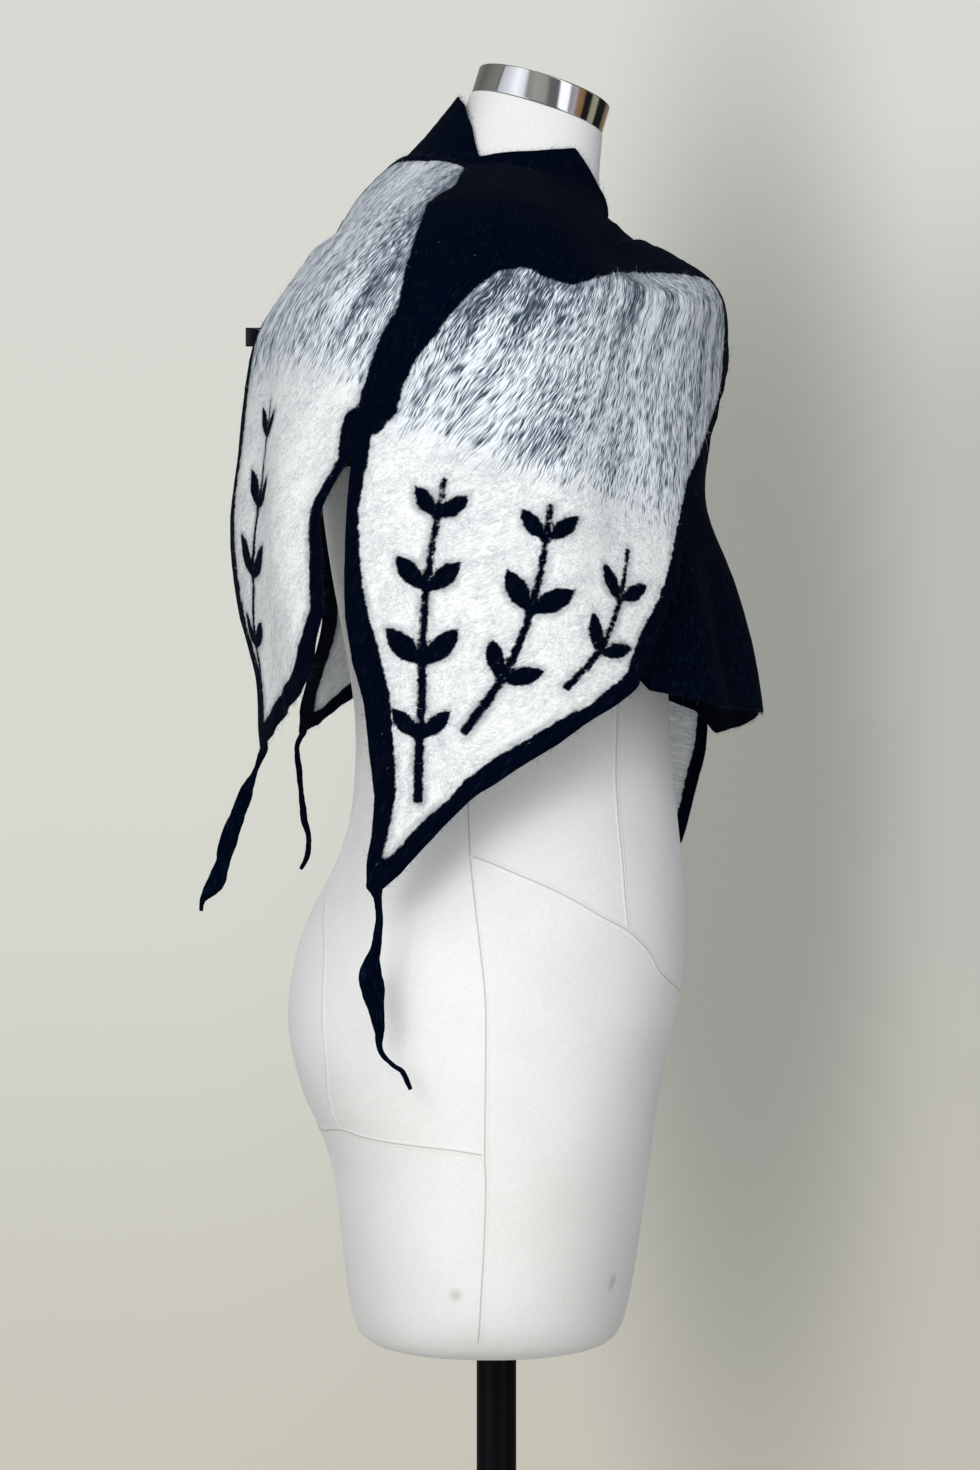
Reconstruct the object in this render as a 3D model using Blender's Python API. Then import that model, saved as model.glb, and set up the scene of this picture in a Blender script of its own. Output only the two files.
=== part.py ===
"""A felted wool wrap draped on a limbless dress form with a pole stand.

The wrap has a black under wrap with a slit neck, and over it a pale overlay on each shoulder. Each overlay
is one piece of felt with a slit at the arm, and it hangs in a front point and a back point that run out into
long tails. Sizes below are in millimetres. +Z is up, -Y is the front of the form and -X is its right side.
The origin is on the floor, under the pole.
"""

import math
from collections import namedtuple

import bmesh
import bpy
from mathutils import Matrix, Vector
from mathutils.bvhtree import BVHTree

MM = 0.001
PART_GAP = 0.3

# Stand
PLATE_RADIUS = 205.0
PLATE_HEIGHT = 9.0
SOCKET_RADIUS = 24.0
SOCKET_HEIGHT = 38.0
SOCKET_DEPTH = 26.0
POLE_RADIUS = 13.5
POLE_SLIDE = 0.35
ROUND_SIDES = 40

# Neck cap
CAP_RADIUS = 46.5
CAP_HEIGHT = 20.0
CAP_BEVEL = 1.5

# Cloth
UNDER_THICKNESS = 1.8
OVER_THICKNESS = 2.4
SEAT_ON_FORM = 1.0
SEAT_ON_UNDER = 0.8
FACE_GAP = 0.6
FREE_OF_FORM = 2.5
FREE_OF_UNDER = 1.6

FORM_SIDES = 40
FORM_SQUARENESS = 2.25
FormRow = namedtuple("FormRow", "back_y back_z front_y front_z half_width")
FORM_ROWS = [
    FormRow(78.0, 585.0, -70.0, 585.0, 92.0),
    FormRow(90.0, 589.0, -80.0, 589.0, 114.0),
    FormRow(96.5, 599.0, -86.0, 599.0, 134.0),
    FormRow(101.0, 620.0, -91.0, 620.0, 150.0),
    FormRow(105.0, 657.0, -97.0, 657.0, 162.0),
    FormRow(111.0, 701.0, -103.0, 701.0, 167.0),
    FormRow(121.0, 731.0, -107.0, 731.0, 170.0),
    FormRow(131.0, 753.0, -110.5, 753.0, 171.0),
    FormRow(139.0, 783.0, -116.0, 783.0, 172.0),
    FormRow(141.0, 808.0, -122.5, 808.0, 171.0),
    FormRow(138.0, 833.0, -126.0, 833.0, 168.0),
    FormRow(132.0, 857.0, -127.5, 857.0, 163.0),
    FormRow(122.0, 880.0, -127.5, 880.0, 156.0),
    FormRow(110.0, 903.0, -126.0, 903.0, 148.0),
    FormRow(100.0, 933.0, -123.0, 933.0, 137.0),
    FormRow(96.0, 968.0, -119.5, 968.0, 127.0),
    FormRow(96.0, 1004.0, -117.0, 1004.0, 125.0),
    FormRow(100.0, 1036.0, -116.5, 1036.0, 129.0),
    FormRow(106.0, 1070.0, -119.0, 1070.0, 135.0),
    FormRow(112.0, 1103.0, -127.0, 1103.0, 142.0),
    FormRow(117.0, 1138.0, -134.0, 1138.0, 149.0),
    FormRow(119.5, 1170.0, -136.0, 1170.0, 158.0),
    FormRow(120.5, 1203.0, -128.0, 1203.0, 170.0),
    FormRow(117.0, 1236.0, -113.0, 1236.0, 181.0),
    FormRow(109.0, 1265.0, -100.0, 1265.0, 185.0),
    FormRow(98.0, 1290.0, -91.0, 1290.0, 180.0),
    FormRow(86.0, 1312.0, -84.0, 1309.0, 164.0),
    FormRow(74.0, 1331.0, -78.0, 1323.0, 139.0),
    FormRow(62.0, 1348.0, -73.5, 1336.0, 108.0),
    FormRow(51.0, 1364.0, -71.0, 1348.0, 79.0),
    FormRow(40.0, 1382.0, -70.0, 1361.0, 59.0),
    FormRow(30.0, 1401.0, -70.0, 1375.0, 50.0),
    FormRow(22.0, 1417.0, -71.0, 1388.0, 46.5),
    FormRow(18.0, 1427.0, -72.0, 1399.0, 46.0),
]

# Each ring of cloth is a closed curve through its front, side and back points
Ring = namedtuple("Ring", "front_y front_z side_x side_y side_z back_y back_z")
UNDER_RINGS = [
    Ring(-72.0, 1368.0, 53.0, -2.0, 1378.0, 27.0, 1424.0),
    Ring(-73.0, 1354.0, 66.0, -4.0, 1367.0, 43.0, 1402.0),
    Ring(-82.0, 1334.0, 100.0, -4.0, 1351.0, 65.0, 1377.0),
    Ring(-99.0, 1318.0, 139.0, -2.0, 1333.0, 91.0, 1350.0),
    Ring(-121.0, 1305.0, 168.0, 0.0, 1315.0, 107.0, 1319.0),
    Ring(-141.0, 1287.0, 186.0, 4.0, 1289.0, 115.0, 1283.0),
    Ring(-151.0, 1246.0, 190.0, 6.0, 1246.0, 124.0, 1240.0),
    Ring(-143.0, 1192.0, 180.0, 6.0, 1200.0, 127.0, 1200.0),
    Ring(-140.0, 1146.0, 170.0, 2.0, 1150.0, 128.0, 1155.0),
    Ring(-158.0, 1090.0, 176.0, -6.0, 1090.0, 124.0, 1100.0),
    Ring(-178.0, 1000.0, 196.0, -14.0, 980.0, 124.0, 1050.0),
]
RING_SQUARENESS = 2.3
UNDER_SIDES = 64
UNDER_SHOULDER_RING = 5
UNDER_LOWER_ROWS = 6

# Height of the neck edge by turn from the front: the slit, a collar point, a notch and the nape point
NeckStation = namedtuple("NeckStation", "turn z out")
NECK_EDGE = [
    NeckStation(0.0, 1346.0, 3.0),
    NeckStation(26.0, 1358.0, 3.0),
    NeckStation(57.0, 1383.0, 3.5),
    NeckStation(113.0, 1373.0, 3.5),
    NeckStation(131.0, 1396.0, 3.5),
    NeckStation(150.0, 1413.0, 5.0),
    NeckStation(168.0, 1420.0, 6.0),
    NeckStation(180.0, 1421.0, 6.0),
]
# How far the first rings below the neck edge rise and fall with it
NECK_FOLLOW = 0.7

HemStation = namedtuple("HemStation", "turn z")
UNDER_HEM_RIGHT = [
    HemStation(0.0, 1007.0),
    HemStation(42.0, 1012.0),
    HemStation(62.0, 1020.0),
    HemStation(78.0, 1090.0),
    HemStation(96.0, 1158.0),
    HemStation(125.0, 1164.0),
    HemStation(180.0, 1168.0),
]
UNDER_HEM_LEFT = [
    HemStation(0.0, 1007.0),
    HemStation(32.0, 990.0),
    HemStation(40.0, 1010.0),
    HemStation(56.0, 1024.0),
    HemStation(75.0, 1090.0),
    HemStation(96.0, 1158.0),
    HemStation(125.0, 1164.0),
    HemStation(180.0, 1168.0),
]

# The overlay's upper edge lies on the under wrap, at this position among the under wrap's rings
EdgeStation = namedtuple("EdgeStation", "turn place")
OVER_TOP_EDGE = [
    EdgeStation(9.0, 3.1),
    EdgeStation(30.0, 2.9),
    EdgeStation(50.0, 2.5),
    EdgeStation(70.0, 1.7),
    EdgeStation(90.0, 1.3),
    EdgeStation(115.0, 1.3),
    EdgeStation(136.0, 1.7),
    EdgeStation(160.0, 1.95),
    EdgeStation(174.0, 2.35),
]
OVER_LAST_ON_UNDER = 3.4
OVER_RINGS_RIGHT = [
    Ring(-128.0, 1304.0, 178.0, 2.0, 1326.0, 123.0, 1317.0),
    Ring(-145.0, 1289.0, 204.0, 6.0, 1302.0, 140.0, 1288.0),
    Ring(-152.0, 1262.0, 221.0, 9.0, 1266.0, 161.0, 1250.0),
    Ring(-150.0, 1214.0, 230.0, 10.0, 1210.0, 169.0, 1195.0),
    Ring(-147.0, 1150.0, 234.0, 10.0, 1140.0, 176.0, 1135.0),
    Ring(-160.0, 1090.0, 234.0, 10.0, 1070.0, 171.0, 1075.0),
    Ring(-176.0, 1020.0, 231.0, 10.0, 1000.0, 161.0, 1030.0),
    Ring(-180.0, 940.0, 226.0, 10.0, 930.0, 158.0, 970.0),
    Ring(-180.0, 860.0, 218.0, 8.0, 860.0, 156.0, 900.0),
]
OVER_RINGS_LEFT = [
    Ring(-128.0, 1304.0, 178.0, 0.0, 1326.0, 124.0, 1315.0),
    Ring(-145.0, 1289.0, 204.0, 0.0, 1302.0, 141.0, 1286.0),
    Ring(-152.0, 1262.0, 221.0, 0.0, 1266.0, 148.0, 1244.0),
    Ring(-151.0, 1214.0, 230.0, -4.0, 1210.0, 142.0, 1190.0),
    Ring(-152.0, 1150.0, 232.0, -6.0, 1140.0, 123.0, 1125.0),
    Ring(-168.0, 1090.0, 230.0, -8.0, 1070.0, 124.0, 1065.0),
    Ring(-188.0, 1015.0, 225.0, -10.0, 1000.0, 146.0, 1000.0),
    Ring(-194.0, 940.0, 219.0, -12.0, 930.0, 152.0, 950.0),
    Ring(-188.0, 860.0, 212.0, -14.0, 860.0, 138.0, 890.0),
]
OVER_HEM_RIGHT = [
    HemStation(9.0, 1236.0),
    HemStation(20.0, 1196.0),
    HemStation(36.0, 1140.0),
    HemStation(50.0, 1076.0),
    HemStation(62.0, 1022.0),
    HemStation(74.0, 998.0),
    HemStation(86.0, 970.0),
    HemStation(98.0, 936.0),
    HemStation(106.0, 909.0),
    HemStation(110.5, 898.0),
    HemStation(112.5, 893.0),
    HemStation(114.0, 900.0),
    HemStation(124.0, 1068.0),
    HemStation(129.0, 1034.0),
    HemStation(135.0, 1018.0),
    HemStation(144.0, 1004.0),
    HemStation(152.0, 992.0),
    HemStation(160.0, 983.0),
    HemStation(164.0, 1004.0),
    HemStation(168.0, 1044.0),
    HemStation(171.0, 1090.0),
    HemStation(174.0, 1140.0),
]
OVER_HEM_LEFT = [
    HemStation(9.0, 1236.0),
    HemStation(18.0, 1190.0),
    HemStation(31.5, 1090.0),
    HemStation(42.5, 980.0),
    HemStation(50.5, 916.0),
    HemStation(59.0, 926.0),
    HemStation(70.0, 975.0),
    HemStation(80.0, 1030.0),
    HemStation(88.0, 1065.0),
    HemStation(96.0, 1085.0),
    HemStation(110.0, 1070.0),
    HemStation(124.0, 1046.0),
    HemStation(136.0, 1022.0),
    HemStation(150.0, 1000.0),
    HemStation(158.0, 994.0),
    HemStation(162.0, 1010.0),
    HemStation(166.0, 1050.0),
    HemStation(170.0, 1100.0),
    HemStation(174.0, 1150.0),
]

# A fold stands proud of the rings by its reach, or sinks in where that is negative, and lowers by its drop
Fold = namedtuple("Fold", "turn turn_spread z z_spread reach drop")
SHOULDER_DIPS = [
    Fold(50.0, 22.0, 1318.0, 40.0, 0.0, 27.0),
    Fold(145.0, 26.0, 1325.0, 40.0, 0.0, 9.0),
]
OVER_FOLDS = SHOULDER_DIPS + [
    Fold(48.0, 26.0, 1272.0, 20.0, 7.0, 0.0),
    Fold(52.0, 22.0, 1302.0, 15.0, -6.0, 0.0),
    Fold(58.0, 9.0, 1200.0, 70.0, -6.0, 0.0),
    Fold(76.0, 8.0, 1130.0, 110.0, 6.0, 0.0),
    Fold(96.0, 7.0, 1060.0, 90.0, -5.0, 0.0),
    Fold(134.0, 8.0, 1110.0, 90.0, 6.0, 0.0),
    Fold(149.0, 7.0, 1160.0, 80.0, -6.0, 0.0),
    Fold(122.0, 9.0, 1260.0, 50.0, 5.0, 0.0),
]
UNDER_FOLDS = SHOULDER_DIPS + [
    Fold(16.0, 7.0, 1050.0, 60.0, 6.0, 0.0),
    Fold(30.0, 6.0, 1040.0, 60.0, -7.0, 0.0),
    Fold(44.0, 7.0, 1050.0, 60.0, 6.0, 0.0),
    Fold(-20.0, 7.0, 1050.0, 60.0, -7.0, 0.0),
    Fold(-38.0, 8.0, 1040.0, 60.0, 7.0, 0.0),
]
# The dips lie on both shoulders of the under wrap
UNDER_FOLDS += [fold._replace(turn=-fold.turn) for fold in SHOULDER_DIPS]

Side = namedtuple("Side", "name sign slit rings hem opening")
RIGHT = Side("right", 1.0, 114.0, OVER_RINGS_RIGHT, OVER_HEM_RIGHT, 10.0)
LEFT = Side("left", -1.0, 90.0, OVER_RINGS_LEFT, OVER_HEM_LEFT, 6.0)
OVER_START = 9.0
OVER_END = 174.0
OVER_FRONT_COLUMNS = 23
OVER_UPPER_ROWS = 8
OVER_LOWER_ROWS = 9
SHOULDER_Z = 1300.0
SLIT_TOP_Z = 1182.0
SLIT_OPENING_SPAN = 60.0
SLIT_TURN_SPAN = 30.0

# The front panel's edge along the slit wavers: degrees towards the back, by height
EdgeWaver = namedtuple("EdgeWaver", "z degrees")
SLIT_WAVER = [
    EdgeWaver(895.0, 1.0),
    EdgeWaver(912.0, 0.8),
    EdgeWaver(932.0, -1.0),
    EdgeWaver(956.0, -1.9),
    EdgeWaver(984.0, -0.6),
    EdgeWaver(1013.0, 0.5),
    EdgeWaver(1036.0, 2.6),
    EdgeWaver(1065.0, 3.4),
    EdgeWaver(1089.0, 3.0),
    EdgeWaver(1138.0, 1.6),
    EdgeWaver(1182.0, 0.0),
]

# Each tail is a ribbon along its own points, which start at its panel's lowest point
TailRow = namedtuple("TailRow", "along back drop width")
TAIL_THICKNESS = 3.4
TAIL_TURN_ROWS = 3
TAIL_SEAT = 0.4
TAIL_RIGHT_FRONT = [
    TailRow(0.0, -2.0, 0.0, 11.0),
    TailRow(0.5, -3.5, 8.0, 6.0),
    TailRow(0.5, -4.5, 22.0, 4.4),
    TailRow(1.0, -2.5, 38.0, 6.5),
    TailRow(1.0, 0.5, 50.0, 12.0),
    TailRow(1.0, 0.0, 61.0, 13.5),
    TailRow(1.0, -3.0, 77.0, 11.0),
    TailRow(0.5, -4.5, 89.0, 6.0),
    TailRow(0.0, -4.5, 98.0, 3.6),
    TailRow(0.0, -7.0, 105.0, 3.4),
    TailRow(0.0, -13.0, 111.0, 3.2),
    TailRow(0.0, -19.0, 115.5, 3.2),
    TailRow(0.0, -24.0, 126.0, 2.4),
]
TAIL_RIGHT_BACK = [
    TailRow(0.0, 0.0, 0.0, 8.0),
    TailRow(0.0, 5.0, 13.0, 4.2),
    TailRow(0.5, 11.0, 27.0, 8.0),
    TailRow(1.0, 16.0, 40.0, 10.5),
    TailRow(1.0, 20.0, 51.0, 10.0),
    TailRow(1.0, 24.0, 62.5, 10.5),
    TailRow(1.0, 26.5, 74.0, 10.5),
    TailRow(1.0, 30.5, 85.0, 10.5),
    TailRow(0.5, 35.5, 93.0, 8.0),
    TailRow(0.0, 40.0, 99.0, 4.0),
    TailRow(0.0, 41.0, 106.0, 2.4),
]
TAIL_LEFT_BACK = [
    TailRow(0.0, 0.0, 0.0, 6.0),
    TailRow(0.0, 5.0, 10.0, 4.0),
    TailRow(0.0, 4.0, 24.0, 4.0),
    TailRow(0.0, 2.0, 44.0, 4.2),
    TailRow(0.0, 0.0, 62.0, 4.4),
    TailRow(0.0, -3.0, 74.0, 4.2),
    TailRow(0.0, -3.0, 82.5, 4.0),
    TailRow(0.0, -1.5, 90.5, 3.4),
    TailRow(0.0, 2.5, 98.0, 2.4),
]
TAIL_LEFT_FRONT = [
    TailRow(0.0, 0.0, 0.0, 8.0),
    TailRow(1.0, 7.0, 14.0, 4.6),
    TailRow(2.0, 16.0, 30.0, 5.0),
    TailRow(2.0, 24.0, 48.0, 9.0),
    TailRow(2.0, 28.0, 66.0, 12.0),
    TailRow(2.0, 31.0, 84.0, 10.0),
    TailRow(1.0, 32.0, 100.0, 5.0),
    TailRow(0.0, 34.0, 116.0, 3.0),
    TailRow(0.0, 40.0, 126.0, 2.4),
]

LABEL_WIDTH = 13.0
LABEL_REACH = 7.5
LABEL_THICKNESS = 1.6
LABEL_Z = 1257.0
LABEL_X = -46.0


def clear_scene():
    for old in list(bpy.data.objects):
        bpy.data.objects.remove(old)


def make_material(name, colour, roughness, metallic=0.0):
    material = bpy.data.materials.new(name)
    material.use_nodes = True
    shader = material.node_tree.nodes["Principled BSDF"]
    shader.inputs["Base Color"].default_value = (*colour, 1.0)
    shader.inputs["Roughness"].default_value = roughness
    shader.inputs["Metallic"].default_value = metallic
    return material


def make_object(name, points, faces, material):
    """An object from points in millimetres."""
    mesh = bpy.data.meshes.new(name)
    mesh.from_pydata([Vector(p) * MM for p in points], [], faces)
    mesh.shade_smooth()
    mesh.set_sharp_from_angle(angle=math.radians(50))
    mesh.materials.append(material)
    made = bpy.data.objects.new(name, mesh)
    bpy.context.scene.collection.objects.link(made)
    return made


def face_outward(thing):
    work = bmesh.new()
    work.from_mesh(thing.data)
    bmesh.ops.recalc_face_normals(work, faces=work.faces)
    work.to_mesh(thing.data)
    work.free()
    return thing


def loft(name, rings, material):
    """A closed solid through rings of equal length, with flat ends."""
    count = len(rings[0])
    points = [p for ring in rings for p in ring]
    faces = []
    for row in range(len(rings) - 1):
        for i in range(count):
            j = (i + 1) % count
            faces.append((row * count + i, row * count + j, (row + 1) * count + j, (row + 1) * count + i))
    top = (len(rings) - 1) * count
    faces.append(tuple(reversed(range(count))))
    faces.append(tuple(range(top, top + count)))
    return face_outward(make_object(name, points, faces, material))


def turned(name, profile, material, closed=False):
    """A solid of revolution about Z from (radius, height) points that run up its outer side."""
    rings = []
    for radius, height in profile:
        turn = [2 * math.pi * i / ROUND_SIDES for i in range(ROUND_SIDES)]
        rings.append([Vector((radius * math.cos(a), radius * math.sin(a), height)) for a in turn])
    if not closed:
        return loft(name, rings, material)
    count = ROUND_SIDES
    points = [p for ring in rings for p in ring]
    faces = []
    for row in range(len(rings)):
        up = (row + 1) % len(rings)
        for i in range(count):
            j = (i + 1) % count
            faces.append((row * count + i, row * count + j, up * count + j, up * count + i))
    return make_object(name, points, faces, material)


def power(value, exponent):
    return math.copysign(abs(value) ** exponent, value)


def catmull(values, position):
    """A smooth value between the numbers of a list, at a position counted from its first."""
    last = len(values) - 1
    i = max(0, min(last - 1, int(math.floor(position))))
    t = position - i
    a = values[max(0, i - 1)]
    b, c = values[i], values[i + 1]
    d = values[min(last, i + 2)]
    return 0.5 * (2 * b + (c - a) * t + (2 * a - 5 * b + 4 * c - d) * t * t + (3 * b - a - 3 * c + d) * t ** 3)


def between(stations, place, field, by="turn"):
    """The value of a table's column at a place in another, on a straight line between its nearest rows."""
    if place <= getattr(stations[0], by):
        return getattr(stations[0], field)
    for low, high in zip(stations, stations[1:]):
        if place <= getattr(high, by):
            t = (place - getattr(low, by)) / (getattr(high, by) - getattr(low, by))
            return getattr(low, field) * (1 - t) + getattr(high, field) * t
    return getattr(stations[-1], field)


def form_ring(row, out=0.0):
    """One section of the dress form, in the plane through its back and front points."""
    back = Vector((0, row.back_y, row.back_z))
    front = Vector((0, row.front_y, row.front_z))
    centre = (back + front) / 2
    forward = (front - back) / 2
    reach = forward.length + out
    forward = forward.normalized()
    ring = []
    for i in range(FORM_SIDES):
        turn = 2 * math.pi * i / FORM_SIDES
        across = power(math.sin(turn), 2 / FORM_SQUARENESS) * (row.half_width + out)
        along = power(math.cos(turn), 2 / FORM_SQUARENESS) * reach
        ring.append(centre + forward * along + Vector((across, 0, 0)))
    return ring


def ring_at(rings, position):
    """The ring at a position between the table's rows."""
    return Ring(*(catmull([getattr(r, f) for r in rings], position) for f in Ring._fields))


def on_ring(ring, turn, sign=1.0):
    """The ring's point at a turn in degrees: 0 at the front, 90 at the side, 180 at the back."""
    sine = math.sin(math.radians(turn))
    cosine = math.cos(math.radians(turn))
    x = -sign * ring.side_x * power(sine, 2 / RING_SQUARENESS)
    end_y = ring.front_y if cosine > 0 else ring.back_y
    end_z = ring.front_z if cosine > 0 else ring.back_z
    y = ring.side_y + (end_y - ring.side_y) * abs(cosine) ** (2 / RING_SQUARENESS)
    z = ring.side_z + (end_z - ring.side_z) * cosine * cosine
    return Vector((x, y, z))


def folded(folds, point, turn, sign):
    """The point, moved out and down by the folds near it."""
    reach = 0.0
    drop = 0.0
    for fold in folds:
        around = (turn - fold.turn) / fold.turn_spread
        up = (point.z - fold.z) / fold.z_spread
        share = math.exp(-around * around - up * up)
        reach += fold.reach * share
        drop += fold.drop * share
    return point + outward(turn, sign) * reach - Vector((0, 0, drop))


def outward(turn, sign=1.0):
    angle = math.radians(turn)
    return Vector((-sign * math.sin(angle), -math.cos(angle), 0))


def push_needed(tree, point, gap):
    """How far to move a point so that it stands off the nearest face by the gap, as a vector."""
    near, normal, _, _ = tree.find_nearest(point * MM)
    away = point - near / MM
    height = away.dot(normal)
    beside = (away - normal * height).length
    slack = 0.5 if height > 0 else 1.5
    if height >= gap or beside > slack * abs(height) + 0.4:
        return Vector((0, 0, 0))
    return normal * (gap - height)


def clear_of(tree, point, gap):
    return point + push_needed(tree, point, gap)


def in_triangles(faces):
    """Each four-sided face as two triangles, so that every search and solid sees the same surface."""
    return [part for a, b, c, d in faces for part in ((a, b, c), (a, c, d))]


def settle(points, faces, tree, gap):
    """Push the corners of a face out where the middle of the face or of an edge comes too close."""
    for _ in range(24):
        moves = {}
        for face in faces:
            corners = [points[i] for i in face]
            middle = sum(corners, Vector()) / len(corners)
            spots = [(middle, face)] + [(points[i], (i,)) for i in face]
            for a, b in zip(face, face[1:] + face[:1]):
                spots.append(((points[a] + points[b]) / 2, (a, b)))
                spots.append((points[a] * 0.75 + points[b] * 0.25, (a, b)))
            for spot, owners in spots:
                push = push_needed(tree, spot, gap)
                if push.length > 0.02:
                    for i in owners:
                        if push.length > moves.get(i, Vector()).length:
                            moves[i] = push
        if not moves:
            return
        for i, push in moves.items():
            points[i] = points[i] + push


def tree_of(thing):
    bpy.context.view_layer.update()
    return BVHTree.FromObject(thing, bpy.context.evaluated_depsgraph_get())


def outer_tree_of(thing):
    """A search tree of only the outer skin of a garment."""
    bpy.context.view_layer.update()
    mesh = thing.evaluated_get(bpy.context.evaluated_depsgraph_get()).to_mesh()
    skin = []
    for face in mesh.polygons:
        away = Vector((face.center.x, face.center.y, 0)).normalized() + Vector((0, 0, 1))
        if face.normal.dot(away) > 0:
            skin.append(tuple(face.vertices))
    return BVHTree.FromPolygons([v.co.copy() for v in mesh.vertices], skin)


def neck_edge_point(turn):
    """The top edge of the under wrap, which stands close to the neck."""
    folded = abs(turn)
    z = between(NECK_EDGE, folded, "z")
    out = between(NECK_EDGE, folded, "out")
    rows = FORM_ROWS[-6:]
    ring = None
    for low, high in zip(rows, rows[1:]):
        low_z = low.back_z + (low.front_z - low.back_z) * (1 + math.cos(math.radians(folded))) / 2
        high_z = high.back_z + (high.front_z - high.back_z) * (1 + math.cos(math.radians(folded))) / 2
        if z <= high_z or high is rows[-1]:
            t = (z - low_z) / (high_z - low_z)
            ring = FormRow(*(a * (1 - t) + b * t for a, b in zip(low, high)))
            break
    back = Vector((0, ring.back_y, ring.back_z))
    front = Vector((0, ring.front_y, ring.front_z))
    forward = (front - back).normalized()
    reach = (front - back).length / 2 + out
    across = -power(math.sin(math.radians(turn)), 2 / FORM_SQUARENESS) * (ring.half_width + out)
    along = power(math.cos(math.radians(turn)), 2 / FORM_SQUARENESS) * reach
    return (back + front) / 2 + forward * along + Vector((across, 0, 0))


def under_point(turn, position):
    """The inner face of the under wrap. Turns run from -180 to 180, with the right side positive."""
    if position <= 0:
        return neck_edge_point(turn)
    sign = 1.0 if turn >= 0 else -1.0
    point = on_ring(ring_at(UNDER_RINGS, position), abs(turn), sign)
    edge = neck_edge_point(turn)
    if position < 1:
        return edge.lerp(under_point(turn, 1.0), position)
    settle = max(0.0, 2.0 - position)
    usual_z = on_ring(UNDER_RINGS[0], abs(turn), sign).z
    point.z += (edge.z - usual_z) * NECK_FOLLOW * settle
    return folded(UNDER_FOLDS, point, turn, 1.0)


def position_of_z(point_at, z, low, high):
    """The position between two others at which a falling surface reaches a height."""
    for _ in range(30):
        middle = (low + high) / 2
        if point_at(middle).z > z:
            low = middle
        else:
            high = middle
    return (low + high) / 2


def under_grid(form_tree):
    """Rows of points on the inner face of the under wrap, from the neck edge to the hem."""
    columns = []
    for i in range(UNDER_SIDES):
        turn = 180.0 - 360.0 * i / UNDER_SIDES
        hem_table = UNDER_HEM_RIGHT if turn >= 0 else UNDER_HEM_LEFT
        hem_z = between(hem_table, abs(turn), "z")
        last = position_of_z(lambda s: under_point(turn, s), hem_z, UNDER_SHOULDER_RING, len(UNDER_RINGS) - 1)
        positions = [0.0, 0.5] + [1 + k / 2 for k in range(2 * UNDER_SHOULDER_RING - 1)]
        step = (last - UNDER_SHOULDER_RING) / UNDER_LOWER_ROWS
        positions += [UNDER_SHOULDER_RING + step * (k + 1) for k in range(UNDER_LOWER_ROWS)]
        columns.append([clear_of(form_tree, under_point(turn, s), SEAT_ON_FORM) for s in positions])
    return [list(row) for row in zip(*columns)]


def make_under_wrap(form_tree, material):
    rows = under_grid(form_tree)
    count = UNDER_SIDES
    faces = []
    for r in range(len(rows) - 1):
        for i in range(count):
            j = (i + 1) % count
            faces.append((r * count + i, (r + 1) * count + i, (r + 1) * count + j, r * count + j))
    points = [p for row in rows for p in row]
    faces = in_triangles(faces)
    settle(points, faces, form_tree, FACE_GAP)
    wrap = make_object("under_wrap", points, faces, material)
    add_thickness(wrap, UNDER_THICKNESS)
    return wrap


def add_thickness(thing, thickness):
    solid = thing.modifiers.new("wall", "SOLIDIFY")
    solid.thickness = thickness * MM
    solid.offset = 1.0
    solid.use_even_offset = True
    solid.use_rim = True


def over_point(side, turn, position, under_tree):
    """The inner face of an overlay. Positions 0 and 1 lie on the under wrap, and the rings follow."""
    def lying(place):
        point = under_point(side.sign * turn, place)
        return clear_of(under_tree, point, SEAT_ON_UNDER)

    if position <= 1:
        edge = between(OVER_TOP_EDGE, turn, "place")
        return lying(edge + (OVER_LAST_ON_UNDER - edge) * position)
    if position < 2:
        ring_point = over_point(side, turn, 2.0, under_tree)
        return lying(OVER_LAST_ON_UNDER).lerp(ring_point, position - 1)
    point = on_ring(ring_at(side.rings, position - 2), turn, side.sign)
    return folded(OVER_FOLDS, point, turn, side.sign)


def slit_shift(side, turn, z, behind):
    """Degrees that a column near the slit moves: apart behind it, and wavering in front of it."""
    near = max(0.0, 1 - abs(turn - side.slit) / SLIT_TURN_SPAN)
    if not behind:
        return near * between(SLIT_WAVER, z, "degrees", by="z")
    drop = max(0.0, min(1.0, (SLIT_TOP_Z - z) / SLIT_OPENING_SPAN))
    return side.opening * near * drop * drop * (3 - 2 * drop)


def over_columns(side):
    """Turns of the overlay's columns, with the slit's own turn twice."""
    front_step = (side.slit - OVER_START) / OVER_FRONT_COLUMNS
    behind = round((OVER_END - side.slit) / front_step)
    back_step = (OVER_END - side.slit) / behind
    front = [(OVER_START + front_step * k, False) for k in range(OVER_FRONT_COLUMNS + 1)]
    back = [(side.slit + back_step * k, True) for k in range(behind + 1)]
    return front + back


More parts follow.
